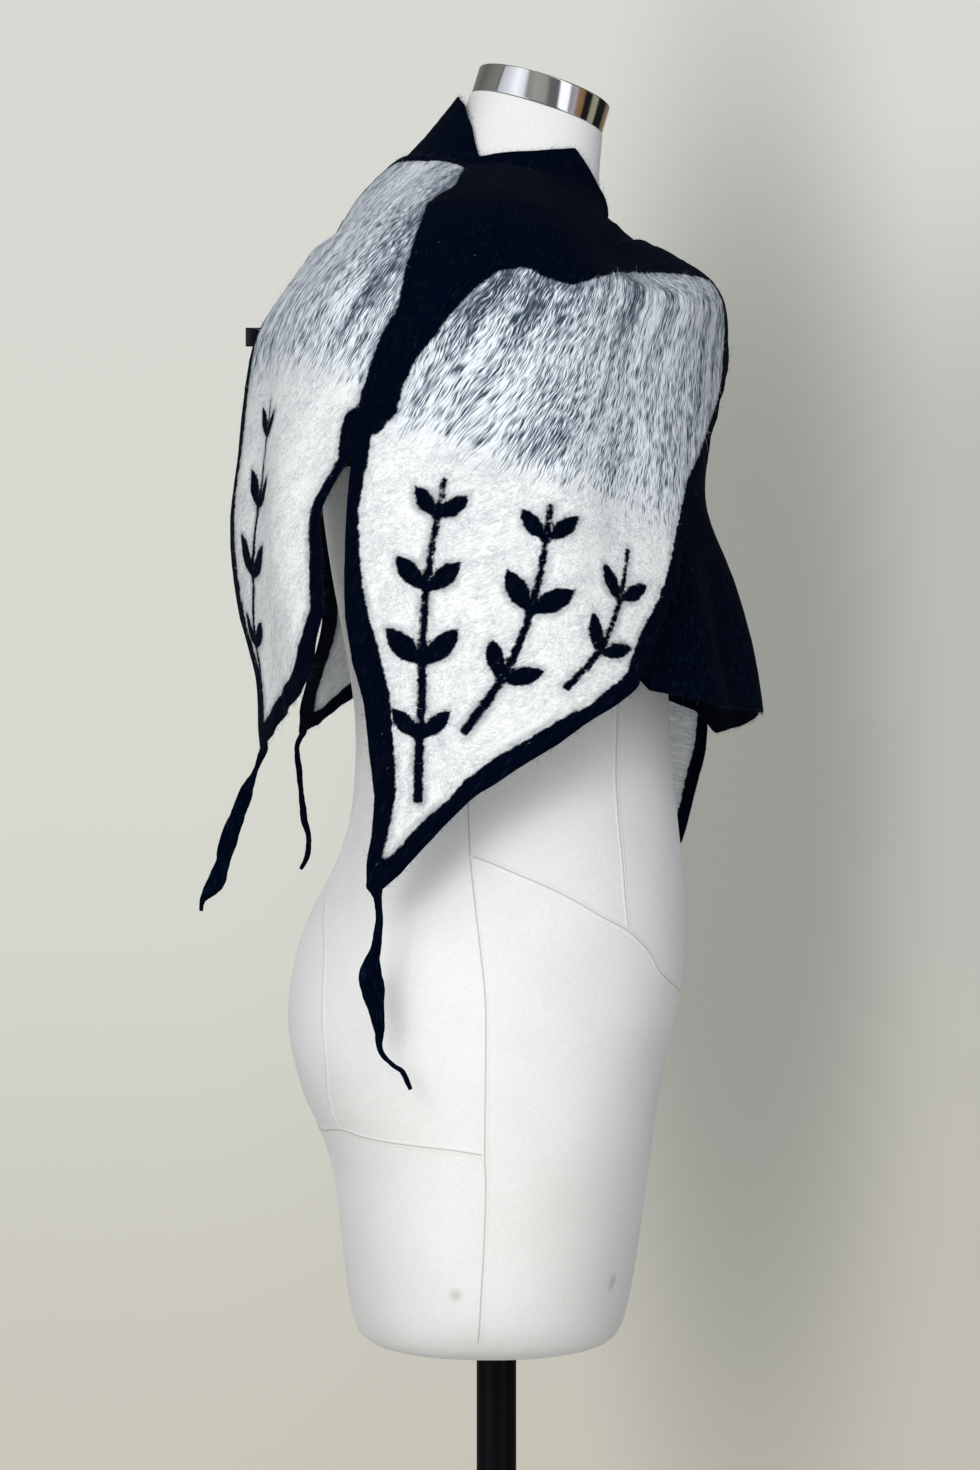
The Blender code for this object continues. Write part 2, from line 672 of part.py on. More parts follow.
def over_grid(side, form_tree, under_tree):
    columns = []
    for turn, behind in over_columns(side):
        opened = slit_shift(side, turn, 0.0, True) if behind else 0.0
        hem_z = between(side.hem, turn + opened, "z")

        def at(position):
            flat = over_point(side, turn, position, under_tree)
            moved = turn + slit_shift(side, turn, flat.z, behind)
            return over_point(side, moved, position, under_tree)

        split_z = max(SLIT_TOP_Z, hem_z + (SHOULDER_Z - hem_z) * 0.45)
        last_ring = len(side.rings) + 1
        split = position_of_z(at, split_z, 2.0, last_ring)
        last = position_of_z(at, hem_z, split, last_ring)
        positions = [k / 3 for k in range(6)]
        positions += [2.0 + (split - 2.0) * k / OVER_UPPER_ROWS for k in range(OVER_UPPER_ROWS)]
        positions += [split + (last - split) * k / OVER_LOWER_ROWS for k in range(OVER_LOWER_ROWS + 1)]
        column = []
        for position in positions:
            point = at(position)
            if position > 1:
                point = clear_of(under_tree, point, FREE_OF_UNDER)
                point = clear_of(form_tree, point, FREE_OF_FORM)
            column.append(point)
        columns.append(column)
    return columns


def make_overlay(side, form_tree, under_tree, material):
    """One overlay: columns joined above the slit's top and apart below it."""
    columns = over_grid(side, form_tree, under_tree)
    turns = over_columns(side)
    slit_column = OVER_FRONT_COLUMNS
    rows = len(columns[0])
    split_row = rows - OVER_LOWER_ROWS
    points, index = [], {}
    for c, column in enumerate(columns):
        for r, point in enumerate(column):
            if c == slit_column + 1 and r < split_row:
                index[c, r] = index[slit_column, r]
                continue
            index[c, r] = len(points)
            points.append(point)
    faces = []
    for c in range(len(turns) - 1):
        if c == slit_column:
            continue
        for r in range(rows - 1):
            face = (index[c, r], index[c, r + 1], index[c + 1, r + 1], index[c + 1, r])
            faces.append(face if side.sign < 0 else tuple(reversed(face)))
    faces = in_triangles(faces)
    settle(points, faces, under_tree, FACE_GAP)
    overlay = make_object(side.name + "_overlay", points, faces, material)
    add_thickness(overlay, OVER_THICKNESS)
    front_tip = min(columns[:slit_column + 1], key=lambda column: column[-1].z)[-1]
    back_tip = min(columns[slit_column + 1:], key=lambda column: column[-1].z)[-1]
    return overlay, front_tip, back_tip


def make_tail(name, tip, rows, sign, material):
    """A felt ribbon that hangs from a panel's tip, with a lens-shaped section."""
    out = Vector((tip.x, tip.y, 0)).normalized()
    start = tip + out * (OVER_THICKNESS / 2) - Vector((0, 0, PART_GAP + TAIL_SEAT))
    path = [start + Vector((-sign * row.along, row.back, -row.drop)) for row in rows]
    rings = []
    for k, row in enumerate(rows):
        ahead = path[min(k + 1, len(path) - 1)] - path[max(k - 1, 0)]
        ahead = Vector((0, 0, -1)) if k == 0 else ahead.normalized()
        facing = out.lerp(Vector((-sign, 0, 0)), min(1.0, k / TAIL_TURN_ROWS))
        across = facing.cross(ahead).normalized()
        through = ahead.cross(across).normalized()
        half = row.width / 2
        thin = TAIL_THICKNESS / 2 * min(1.0, row.width / 6.0)
        ring = []
        for step in range(8):
            angle = math.pi / 4 * step
            ring.append(path[k] + across * half * math.cos(angle) + through * thin * math.sin(angle))
        rings.append(ring)
    return loft(name, rings, material)


def make_label(overlay, material):
    """A small plain loop of tape, folded over the back edge of the right overlay."""
    tree = tree_of(overlay)
    half = LABEL_THICKNESS / 2
    root = 0.0
    for x in (LABEL_X - half, LABEL_X, LABEL_X + half):
        for z in (LABEL_Z - LABEL_WIDTH / 2, LABEL_Z, LABEL_Z + LABEL_WIDTH / 2):
            hit = tree.ray_cast(Vector((x, 400, z)) * MM, Vector((0, -1, 0)))[0]
            root = max(root, hit.y / MM + PART_GAP)
    ring = []
    for step in range(8):
        angle = math.pi * (step / 7.0) - math.pi / 2
        ring.append((half * math.sin(angle), root + LABEL_REACH - half + half * math.cos(angle)))
    outline = [(-half, root)] + ring + [(half, root)]
    rings = []
    for dz in (-LABEL_WIDTH / 2, LABEL_WIDTH / 2):
        rings.append([Vector((LABEL_X + x, y, LABEL_Z + dz)) for x, y in outline])
    return loft("label_tab", rings, material)


def make_form(material):
    rings = [form_ring(row) for row in FORM_ROWS]
    return loft("form_body", rings, material)


def make_neck_cap(material):
    """A chromed cap on the tilted top of the neck."""
    top = FORM_ROWS[-1]
    back = Vector((0, top.back_y, top.back_z))
    front = Vector((0, top.front_y, top.front_z))
    up = Vector((1, 0, 0)).cross(front - back).normalized()
    up = up if up.z > 0 else -up
    profile = [
        (CAP_RADIUS - CAP_BEVEL, 0.0),
        (CAP_RADIUS, CAP_BEVEL),
        (CAP_RADIUS, CAP_HEIGHT - CAP_BEVEL),
        (CAP_RADIUS - CAP_BEVEL, CAP_HEIGHT),
        (CAP_RADIUS - 4.0, CAP_HEIGHT),
        (CAP_RADIUS - 5.0, CAP_HEIGHT - 1.2),
    ]
    cap = turned("neck_cap", profile, material)
    centre = (back + front) / 2 + up * PART_GAP
    tilt = Vector((0, 0, 1)).rotation_difference(up)
    cap.matrix_world = Matrix.Translation(centre * MM) @ tilt.to_matrix().to_4x4()
    return cap


def make_stand(plate_material, pole_material):
    floor_of_socket = PLATE_HEIGHT + SOCKET_HEIGHT - SOCKET_DEPTH
    inner = POLE_RADIUS + POLE_SLIDE
    profile = [
        (PLATE_RADIUS - 2.0, 0.0),
        (PLATE_RADIUS, 2.0),
        (PLATE_RADIUS, PLATE_HEIGHT - 2.5),
        (PLATE_RADIUS - 4.0, PLATE_HEIGHT),
        (SOCKET_RADIUS + 6.0, PLATE_HEIGHT + 1.0),
        (SOCKET_RADIUS, PLATE_HEIGHT + 6.0),
        (SOCKET_RADIUS, PLATE_HEIGHT + SOCKET_HEIGHT - 2.0),
        (SOCKET_RADIUS - 2.0, PLATE_HEIGHT + SOCKET_HEIGHT),
        (inner, PLATE_HEIGHT + SOCKET_HEIGHT),
        (inner, floor_of_socket),
    ]
    turned("floor_plate", profile, plate_material)
    pole_low = floor_of_socket + PART_GAP
    pole_high = FORM_ROWS[0].back_z - PART_GAP
    turned("pole", [(POLE_RADIUS, pole_low), (POLE_RADIUS, pole_high)], pole_material)


def main():
    clear_scene()
    black_wool = make_material("black_wool", (0.010, 0.014, 0.026), 0.95)
    pale_wool = make_material("pale_wool", (0.62, 0.63, 0.66), 0.95)
    form_cloth = make_material("form_cloth", (0.78, 0.77, 0.75), 0.85)
    chrome = make_material("chrome", (0.80, 0.80, 0.82), 0.08, 1.0)
    black_paint = make_material("black_paint", (0.012, 0.012, 0.014), 0.30)

    make_stand(black_paint, black_paint)
    form = make_form(form_cloth)
    make_neck_cap(chrome)
    form_tree = tree_of(form)
    under = make_under_wrap(form_tree, black_wool)
    under_tree = outer_tree_of(under)
    right, right_front, right_back = make_overlay(RIGHT, form_tree, under_tree, pale_wool)
    _, left_front, left_back = make_overlay(LEFT, form_tree, under_tree, pale_wool)
    make_tail("right_front_tail", right_front, TAIL_RIGHT_FRONT, 1.0, black_wool)
    make_tail("right_back_tail", right_back, TAIL_RIGHT_BACK, 1.0, black_wool)
    make_tail("left_front_tail", left_front, TAIL_LEFT_FRONT, -1.0, black_wool)
    make_tail("left_back_tail", left_back, TAIL_LEFT_BACK, -1.0, black_wool)
    make_label(right, black_wool)


main()
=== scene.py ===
"""Looks of a felted wool wrap that is draped on a limbless dress form with a pole stand.

The wrap is a black under wrap with a slit neck and one pale overlay on each shoulder. Each overlay hangs in
a front point and a back point, split at the arm, and each point runs out into a twisted felt tail. Lengths
are in millimetres until a mesh is made. +Z is up, -Y is the front of the form and -X is its right side.
"""

import logging
import math
from dataclasses import dataclass
from enum import Enum
from functools import partial
from typing import Callable, NamedTuple, Sequence

import bpy
import numpy as np
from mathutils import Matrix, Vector, noise
from mathutils.bvhtree import BVHTree


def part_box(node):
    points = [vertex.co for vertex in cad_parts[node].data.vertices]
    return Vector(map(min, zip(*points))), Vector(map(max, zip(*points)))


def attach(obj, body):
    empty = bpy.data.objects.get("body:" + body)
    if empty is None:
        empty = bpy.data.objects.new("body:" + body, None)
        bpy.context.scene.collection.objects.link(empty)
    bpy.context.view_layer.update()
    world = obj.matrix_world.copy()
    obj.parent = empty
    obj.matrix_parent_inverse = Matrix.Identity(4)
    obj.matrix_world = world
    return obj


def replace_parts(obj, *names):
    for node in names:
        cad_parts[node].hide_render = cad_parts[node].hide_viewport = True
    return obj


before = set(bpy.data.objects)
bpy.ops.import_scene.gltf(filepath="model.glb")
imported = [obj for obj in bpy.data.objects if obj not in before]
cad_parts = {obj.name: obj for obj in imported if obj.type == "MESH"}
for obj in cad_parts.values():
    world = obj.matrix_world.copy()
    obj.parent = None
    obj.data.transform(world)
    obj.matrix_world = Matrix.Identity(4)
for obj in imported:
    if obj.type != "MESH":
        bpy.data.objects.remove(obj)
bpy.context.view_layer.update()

MM = 0.001
# What a turn of one degree spans on the felt
MM_PER_DEGREE = 2.9
# How wide the coarse and the fine pebbles of the felt are
PEBBLES_MM = (7.0, 3.2)
BODY = "root"
Array = np.ndarray
Material = bpy.types.Material
Node = bpy.types.Node
Socket = bpy.types.NodeSocket
Thing = bpy.types.Object
Adder = Callable[..., Node]
log = logging.getLogger("wrap")


class Slot(Enum):
    """Names of the material slots."""

    BLACK_WOOL = "black_wool"
    PALE_WOOL = "pale_wool"
    FORM_CLOTH = "form_cloth"
    CHROME = "chrome"
    BLACK_PAINT = "black_paint"


class Ring(NamedTuple):
    """A closed section of hanging cloth through its front, side and back points."""

    front_y: float
    front_z: float
    side_x: float
    side_y: float
    side_z: float
    back_y: float
    back_z: float


class FormRow(NamedTuple):
    """A section of the dress form through its back and front points."""

    back_y: float
    back_z: float
    front_y: float
    front_z: float
    half_width: float


class Fold(NamedTuple):
    """A soft ridge, or a trough where the reach is negative, that lowers the cloth by its drop."""

    turn: float
    turn_spread: float
    z: float
    z_spread: float
    reach: float
    drop: float


class Station(NamedTuple):
    """A value at a turn in degrees: 0 at the front, 90 at the side, 180 at the back."""

    turn: float
    value: float


class TailRow(NamedTuple):
    """A section of a tail: its place from the panel's lowest point, and its width."""

    along: float
    back: float
    drop: float
    width: float


FORM_ROWS = tuple(FormRow(*row) for row in (
    (78, 585, -70, 585, 92), (90, 589, -80, 589, 114), (96.5, 599, -86, 599, 134),
    (101, 620, -91, 620, 150), (105, 657, -97, 657, 162), (111, 701, -103, 701, 167),
    (121, 731, -107, 731, 170), (131, 753, -110.5, 753, 171), (139, 783, -116, 783, 172),
    (141, 808, -122.5, 808, 171), (138, 833, -126, 833, 168), (132, 857, -127.5, 857, 163),
    (122, 880, -127.5, 880, 156), (110, 903, -126, 903, 148), (100, 933, -123, 933, 137),
    (96, 968, -119.5, 968, 127), (96, 1004, -117, 1004, 125), (100, 1036, -116.5, 1036, 129),
    (106, 1070, -119, 1070, 135), (112, 1103, -127, 1103, 142), (117, 1138, -134, 1138, 149),
    (119.5, 1170, -136, 1170, 158), (120.5, 1203, -128, 1203, 170), (117, 1236, -113, 1236, 181),
    (109, 1265, -100, 1265, 185), (98, 1290, -91, 1290, 180), (86, 1312, -84, 1309, 164),
    (74, 1331, -78, 1323, 139), (62, 1348, -73.5, 1336, 108), (51, 1364, -71, 1348, 79),
    (40, 1382, -70, 1361, 59), (30, 1401, -70, 1375, 50), (22, 1417, -71, 1388, 46.5),
    (18, 1427, -72, 1399, 46),
))
FORM_SQUARENESS = 2.25
NECK_ROWS = 6

UNDER_RINGS = tuple(Ring(*row) for row in (
    (-72, 1368, 53, -2, 1378, 27, 1424), (-73, 1354, 66, -4, 1367, 43, 1402),
    (-82, 1334, 100, -4, 1351, 65, 1377), (-99, 1318, 139, -2, 1333, 91, 1350),
    (-121, 1305, 168, 0, 1315, 107, 1319), (-141, 1287, 186, 4, 1289, 115, 1283),
    (-151, 1246, 190, 6, 1246, 124, 1240), (-143, 1192, 180, 6, 1200, 127, 1200),
    (-140, 1146, 170, 2, 1150, 128, 1155), (-158, 1090, 176, -6, 1090, 124, 1100),
    (-178, 1000, 196, -14, 980, 124, 1050),
))
NECK_HEIGHT = tuple(Station(*row) for row in (
    (0, 1346), (26, 1358), (57, 1383), (113, 1373), (131, 1396), (150, 1413), (168, 1420), (180, 1421),
))
NECK_OUT = tuple(Station(*row) for row in (
    (0, 3), (26, 3), (57, 3.5), (131, 3.5), (150, 5), (168, 6), (180, 6),
))
# How far the first rings below the neck edge rise and fall with it
NECK_FOLLOW = 0.7
UNDER_HEM = tuple(Station(*row) for row in (
    (-180, 1168), (-125, 1164), (-96, 1158), (-75, 1090), (-56, 1024), (-40, 1010), (-32, 990), (0, 1007),
    (42, 1012), (62, 1020), (78, 1090), (96, 1158), (125, 1164), (180, 1168),
))
OVER_TOP_EDGE = tuple(Station(*row) for row in (
    (9, 3.1), (30, 2.9), (50, 2.5), (70, 1.7), (90, 1.3), (115, 1.3), (136, 1.7), (160, 1.95), (174, 2.35),
))
SHOULDER_DIPS = (
    Fold(50.0, 22.0, 1318.0, 40.0, 0.0, 27.0),
    Fold(145.0, 26.0, 1325.0, 40.0, 0.0, 9.0),
)
UNDER_FOLDS = (
    *SHOULDER_DIPS,
    *(fold._replace(turn=-fold.turn) for fold in SHOULDER_DIPS),
    *(Fold(*row) for row in (
        (16, 7, 1050, 60, 6, 0), (30, 6, 1040, 60, -7, 0), (44, 7, 1050, 60, 6, 0),
        (-20, 7, 1050, 60, -7, 0), (-38, 8, 1040, 60, 7, 0),
    )),
)
OVER_FOLDS = (
    *SHOULDER_DIPS,
    *(Fold(*row) for row in (
        (48, 26, 1272, 20, 7, 0), (52, 22, 1302, 15, -6, 0), (58, 9, 1200, 70, -6, 0),
        (76, 8, 1130, 110, 6, 0), (96, 7, 1060, 90, -5, 0), (134, 8, 1110, 90, 6, 0),
        (149, 7, 1160, 80, -6, 0), (122, 9, 1260, 50, 5, 0),
    )),
)


def smoothstep(values: Array, low: float, high: float) -> Array:
    """Rise from 0 at low to 1 at high without a corner."""
    share = np.clip((values - low) / (high - low), 0.0, 1.0)
    return share * share * (3.0 - 2.0 * share)


def signed_power(values: Array, exponent: float) -> Array:
    """Raise the size of each value to a power and keep its sign."""
    return np.sign(values) * np.abs(values) ** exponent


def station_value(stations: Sequence[Station], turn: Array) -> Array:
    """Read a table of stations on straight lines between its rows."""
    return np.interp(turn, [s.turn for s in stations], [s.value for s in stations])


def catmull(values: Sequence[float], place: Array) -> Array:
    """Read a list of numbers on a smooth curve through them.

    Args:
        values: the numbers.
        place: where to read, counted from the first number.

    Returns:
        A number for each place.
    """
    known = np.asarray(values, float)
    last = len(known) - 1
    low = np.clip(np.floor(place).astype(int), 0, last - 1)
    t = place - low
    a = known[np.maximum(low - 1, 0)]
    b = known[low]
    c = known[low + 1]
    d = known[np.minimum(low + 2, last)]
    return 0.5 * (2 * b + (c - a) * t + (2 * a - 5 * b + 4 * c - d) * t**2 + (3 * b - a - 3 * c + d) * t**3)


def read_rows(rows: Sequence[NamedTuple], place: Array) -> dict[str, Array]:
    """Each field of a table's rows on a smooth curve through them, by the field's name."""
    return {name: catmull([getattr(row, name) for row in rows], place) for name in rows[0]._fields}


def unit(vectors: Array, least: float = 0.0) -> Array:
    """The vectors at length 1, or shorter where they are shorter than the least length."""
    return vectors / np.maximum(np.linalg.norm(vectors, axis=-1, keepdims=True), least)


def outward(turn: Array) -> Array:
    """The level direction away from the pole at each turn, positive turns on the right side."""
    angle = np.radians(turn)
    return np.stack([-np.sin(angle), -np.cos(angle), np.zeros_like(angle)], axis=-1)


def ring_points(rings: Sequence[Ring], turn: Array, place: Array) -> Array:
    """Points on hanging cloth.

    Args:
        rings: the cloth's sections, top to bottom.
        turn: degrees from the front, positive on the right side.
        place: position among the rings, counted from the first.

    Returns:
        Points in millimetres.
    """
    squareness = 2 / 2.3
    at = read_rows(rings, place)
    sine = np.sin(np.radians(turn))
    cosine = np.cos(np.radians(turn))
    end_y = np.where(cosine > 0, at["front_y"], at["back_y"])
    end_z = np.where(cosine > 0, at["front_z"], at["back_z"])
    x = -at["side_x"] * signed_power(sine, squareness)
    y = at["side_y"] + (end_y - at["side_y"]) * np.abs(cosine) ** squareness
    z = at["side_z"] + (end_z - at["side_z"]) * cosine**2
    return np.stack([x, y, z], axis=-1)


def with_folds(points: Array, turn: Array, folds: Sequence[Fold], sign: float = 1.0) -> Array:
    """Move points out and down by the folds near them.

    Args:
        points: points on the cloth.
        turn: each point's turn.
        folds: the folds.
        sign: 1 where the folds' turns are as they stand, -1 where they are mirrored.

    Returns:
        The moved points.
    """
    reach = np.zeros(points.shape[:-1])
    drop = np.zeros(points.shape[:-1])
    for fold in folds:
        around = (turn * sign - fold.turn) / fold.turn_spread
        up = (points[..., 2] - fold.z) / fold.z_spread
        share = np.exp(-around * around - up * up)
        reach += fold.reach * share
        drop += fold.drop * share
    return points + outward(turn) * reach[..., None] - np.array([0.0, 0.0, 1.0]) * drop[..., None]


def neck_edge(turn: Array) -> Array:
    """The top edge of the under wrap, which stands close to the neck.

    Args:
        turn: degrees from the front, positive on the right side.

    Returns:
        Points in millimetres.
    """
    z = station_value(NECK_HEIGHT, np.abs(turn))
    out = station_value(NECK_OUT, np.abs(turn))
    rows = FORM_ROWS[-NECK_ROWS:]
    tilt = (1 + np.cos(np.radians(turn))) / 2
    section = np.zeros(turn.shape + (len(FormRow._fields),))
    open_ = np.ones(turn.shape, bool)
    for low, high in zip(rows, rows[1:]):
        low_z = low.back_z + (low.front_z - low.back_z) * tilt
        high_z = high.back_z + (high.front_z - high.back_z) * tilt
        here = open_ & ((z <= high_z) | (high is rows[-1]))
        share = ((z - low_z) / (high_z - low_z))[..., None]
        mixed = np.array(low) * (1 - share) + np.array(high) * share
        section[here] = mixed[here]
        open_ &= ~here
    zero = np.zeros_like(z)
    back = np.stack([zero, section[..., 0], section[..., 1]], axis=-1)
    front = np.stack([zero, section[..., 2], section[..., 3]], axis=-1)
    length = np.linalg.norm(front - back, axis=-1, keepdims=True)
    forward = (front - back) / length
    sine = signed_power(np.sin(np.radians(turn)), 2 / FORM_SQUARENESS)
    cosine = signed_power(np.cos(np.radians(turn)), 2 / FORM_SQUARENESS)
    along = cosine[..., None] * (length / 2 + out[..., None])
    across = np.stack([-sine * (section[..., 4] + out), zero, zero], axis=-1)
    return (back + front) / 2 + forward * along + across


def under_points(turn: Array, place: Array) -> Array:
    """The inner face of the under wrap.

    Args:
        turn: degrees from the front, positive on the right side, -180 to 180.
        place: 0 at the neck edge, then a position among the rings.

    Returns:
        Points in millimetres.
    """
    edge = neck_edge(turn)
    ringed = ring_points(UNDER_RINGS, turn, np.maximum(place, 1.0))
    usual_z = ring_points(UNDER_RINGS, turn, np.zeros_like(place))[..., 2]
    ringed[..., 2] += (edge[..., 2] - usual_z) * NECK_FOLLOW * np.maximum(0.0, 2.0 - np.maximum(place, 1.0))
    ringed = with_folds(ringed, turn, UNDER_FOLDS)
    share = np.clip(place, 0.0, 1.0)[..., None]
    return edge * (1 - share) + ringed * share


def lumps(points: Array, size: float, seed: int) -> Array:
    """Smooth noise from about -1 to 1 with bumps of the given size."""
    shift = Vector((seed * 17.3, seed * 5.1, seed * -9.7))
    return np.array([noise.noise(Vector(p) / size + shift) for p in points.reshape(-1, 3).tolist()])


def pebbled(points: Array, coarse: float, fine: float, seed: int) -> Array:
    """The uneven face of felt: coarse and fine pebbles, by how high they stand."""
    return coarse * lumps(points, PEBBLES_MM[0], seed) + fine * lumps(points, PEBBLES_MM[1], seed + 1)


@dataclass
class Skin:
    """One side of a sheet, with four-sided faces that look outward. Points are in millimetres."""

    points: Array
    faces: Array

    def normals(self) -> Array:
        """The unit normal at each point.

        Returns:
            A vector for each point.
        """
        a, b, c, d = (self.points[self.faces[:, k]] for k in range(4))
        crossed = np.cross(c - a, d - b)
        total = np.zeros_like(self.points)
        for k in range(4):
            np.add.at(total, self.faces[:, k], crossed)
        return unit(total, 1e-9)

    def tree(self) -> BVHTree:
        """A search tree of the faces."""
        return BVHTree.FromPolygons(self.points.tolist(), self.faces.tolist())

    def border(self) -> Array:
        """The edges with a face on one side only, each as two point numbers in the face's order.

        Returns:
            Two point numbers for each edge.
        """
        count = len(self.points)
        starts = self.faces.reshape(-1)
        ends = np.roll(self.faces, -1, axis=1).reshape(-1)
        there = starts.astype(np.int64) * count + ends
        back = ends.astype(np.int64) * count + starts
        alone = ~np.isin(there, back)
        return np.stack([starts[alone], ends[alone]], axis=1)


@dataclass
class Cloth:
    """A sheet with both sides and a rounded edge. Source says which point of the skin each point is from."""

    points: Array
    faces: Array
    source: Array


def thicken(skin: Skin, thickness: Array, rim_steps: int = 3) -> Cloth:
    """Give a skin its thickness outward, with a rounded edge.

    Args:
        skin: the inner side.
        thickness: the wall at each point.
        rim_steps: rows of points round the edge.

    Returns:
        The closed sheet.
    """
    inner = skin.points
    normal = skin.normals()
    outer = inner + normal * thickness[:, None]
    count = len(inner)
    edges = skin.border()
    away = np.zeros_like(inner)
    side = np.cross(inner[edges[:, 1]] - inner[edges[:, 0]], normal[edges[:, 0]])
    np.add.at(away, edges[:, 0], side)
    np.add.at(away, edges[:, 1], side)
    rim = np.unique(edges)
    away = unit(away[rim], 1e-9)
    order = np.full(count, -1)
    order[rim] = np.arange(len(rim))
    middle = (inner[rim] + outer[rim]) / 2
    half = (outer[rim] - inner[rim]) / 2
    rings = [outer[rim]]
    for step in range(1, rim_steps + 1):
        angle = math.pi * step / (rim_steps + 1)
        reach = away * (thickness[rim, None] / 2) * math.sin(angle)
        rings.append(middle + half * math.cos(angle) + reach)
    points = np.concatenate([inner, outer, *rings[1:]])
    numbers = [count + rim]
    numbers += [2 * count + k * len(rim) + np.arange(len(rim)) for k in range(rim_steps)]
    numbers.append(rim)
    faces = [skin.faces[:, ::-1], skin.faces + count]
    a, b = order[edges[:, 0]], order[edges[:, 1]]
    for upper, lower in zip(numbers, numbers[1:]):
        faces.append(np.stack([upper[b], upper[a], lower[a], lower[b]], axis=1))
    source = np.concatenate([np.arange(count), np.arange(count)] + [rim] * rim_steps)
    return Cloth(points, np.concatenate(faces), source)


def grid_numbers(shape: Sequence[int], closed: bool = True) -> Array:
    """Point numbers of a grid, with its first column again at the end where it is closed."""
    numbers = np.arange(shape[0] * shape[1]).reshape(shape)
    return np.concatenate([numbers, numbers[:, :1]], axis=1) if closed else numbers


def grid_faces(numbers: Array, flip: bool = False) -> Array:
    """Faces of a grid of point numbers, whose normals turn over with flip.

    Args:
        numbers: the grid's point numbers.
        flip: whether the normals turn over.

    Returns:
        Four point numbers for each face.
    """
    a, b = numbers[:-1, :-1], numbers[1:, :-1]
    c, d = numbers[1:, 1:], numbers[:-1, 1:]
    faces = np.stack([a, b, c, d], axis=-1).reshape(-1, 4)
    return faces[:, ::-1] if flip else faces


def run_length(line: Array) -> Array:
    """How far along a line each of its points lies."""
    return np.concatenate([[0.0], np.cumsum(np.linalg.norm(np.diff(line, axis=0), axis=1))])


def smooth_line(marks: Sequence[Sequence[float]], samples: int) -> Array:
    """Points on a smooth curve through marks."""
    place = np.linspace(0, len(marks) - 1, samples)
    return np.stack([catmull([mark[axis] for mark in marks], place) for axis in range(3)], axis=-1)


def on_surface(line: Array, even: Array, tree: BVHTree) -> tuple[Array, Array]:
    """Drop a line on a surface.

    Args:
        line: points on the line.
        even: how far along the line each point of the result lies.
        tree: the surface.

    Returns:
        Points on the surface, and the surface's normals there.
    """
    run = run_length(line)
    spread = np.stack([np.interp(even, run, line[:, axis]) for axis in range(3)], axis=-1)
    found = [tree.find_nearest(point)[:2] for point in spread.tolist()]
    return np.array([place for place, _ in found]), np.array([normal for _, normal in found])


def stand_off(points: Array, tree: BVHTree, gap: Array) -> Array:
    """Move points that are too near a surface, or through it, out along its normal.

    Args:
        points: the points.
        tree: the surface.
        gap: the least distance for each point.

    Returns:
        The moved points.
    """
    moved = points.copy()
    for number, (place, least) in enumerate(zip(points.tolist(), gap.tolist())):
        near, normal, _, _ = tree.find_nearest(place)
        away = Vector(place) - near
        height = away.dot(normal)
        beside = (away - normal * height).length
        # Past the surface's edge the nearest point lies beside and not under, and the point stays
        slack = 0.5 if height > 0 else 1.5
        if height < least and beside <= slack * abs(height) + 0.4:
            moved[number] += np.array(normal) * (least - height)
    return moved


def make_piece(name: str, points: Array, faces: Array | list, material: Material) -> Thing:
    """Make a mesh object that rides on the body.

    Args:
        name: the piece's name.
        points: points in millimetres.
        faces: faces as point numbers.
        material: its finish.

    Returns:
        The object.
    """
    mesh = bpy.data.meshes.new(name)
    mesh.from_pydata((points * MM).tolist(), [], faces.tolist() if isinstance(faces, Array) else faces)
    mesh.shade_smooth()
    mesh.materials.append(material)
    made = bpy.data.objects.new(name, mesh)
    bpy.context.scene.collection.objects.link(made)
    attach(made, BODY)
    log.info("%s: %d points, %d faces", name, len(mesh.vertices), len(mesh.polygons))
    return made


def add_values(thing: Thing, name: str, values: Array) -> None:
    """Keep a number or a vector at each point of a mesh under a name that materials can read.

    Args:
        thing: the mesh object.
        name: the name.
        values: a number or a vector for each point.
    """
    kind = "FLOAT" if values.ndim == 1 else "FLOAT_VECTOR"
    field = "value" if values.ndim == 1 else "vector"
    store = thing.data.attributes.new(name, kind, "POINT")
    store.data.foreach_set(field, values.astype(np.float32).ravel())


def srgb(code: str) -> tuple[float, float, float, float]:
    """Turn a hex colour such as #c0ffee into linear red, green, blue and alpha.

    Args:
        code: the hex colour.

    Returns:
        Linear red, green, blue and alpha, from 0 to 1.
    """
    parts = [int(code[k : k + 2], 16) / 255 for k in (1, 3, 5)]
    linear = [p / 12.92 if p <= 0.04045 else ((p + 0.055) / 1.055) ** 2.4 for p in parts]
    return (*linear, 1.0)


def fill(node: Node, inputs: dict | Sequence) -> None:
    """Link or set the inputs of a node.

    Args:
        node: the node.
        inputs: what goes into its sockets, by name or in the order of those in use: an output, a node whose
            first output in use is meant, a hex colour, or another value.
    """
    in_use = [socket for socket in node.inputs if socket.enabled]
    for key, value in inputs.items() if isinstance(inputs, dict) else enumerate(inputs):
        socket = in_use[key] if isinstance(key, int) else node.inputs[key]
        if isinstance(value, Node):
            value = next(output for output in value.outputs if output.enabled)
        if isinstance(value, Socket):
            node.id_data.links.new(value, socket)
        else:
            socket.default_value = srgb(value) if isinstance(value, str) else value


def add_node(tree: bpy.types.NodeTree, kind: str, inputs: dict | Sequence = (), **settings: object) -> Node:
    """Add a node to a tree.

    Args:
        tree: the tree.
        kind: the node's type, without the word ShaderNode that starts each.
        inputs: what goes into its sockets, as fill takes it.
        settings: its other settings by name.

    Returns:
        The node.
    """
    node = tree.nodes.new(f"ShaderNode{kind}")
    for name, value in settings.items():
        setattr(node, name, value)
    fill(node, inputs)
    return node


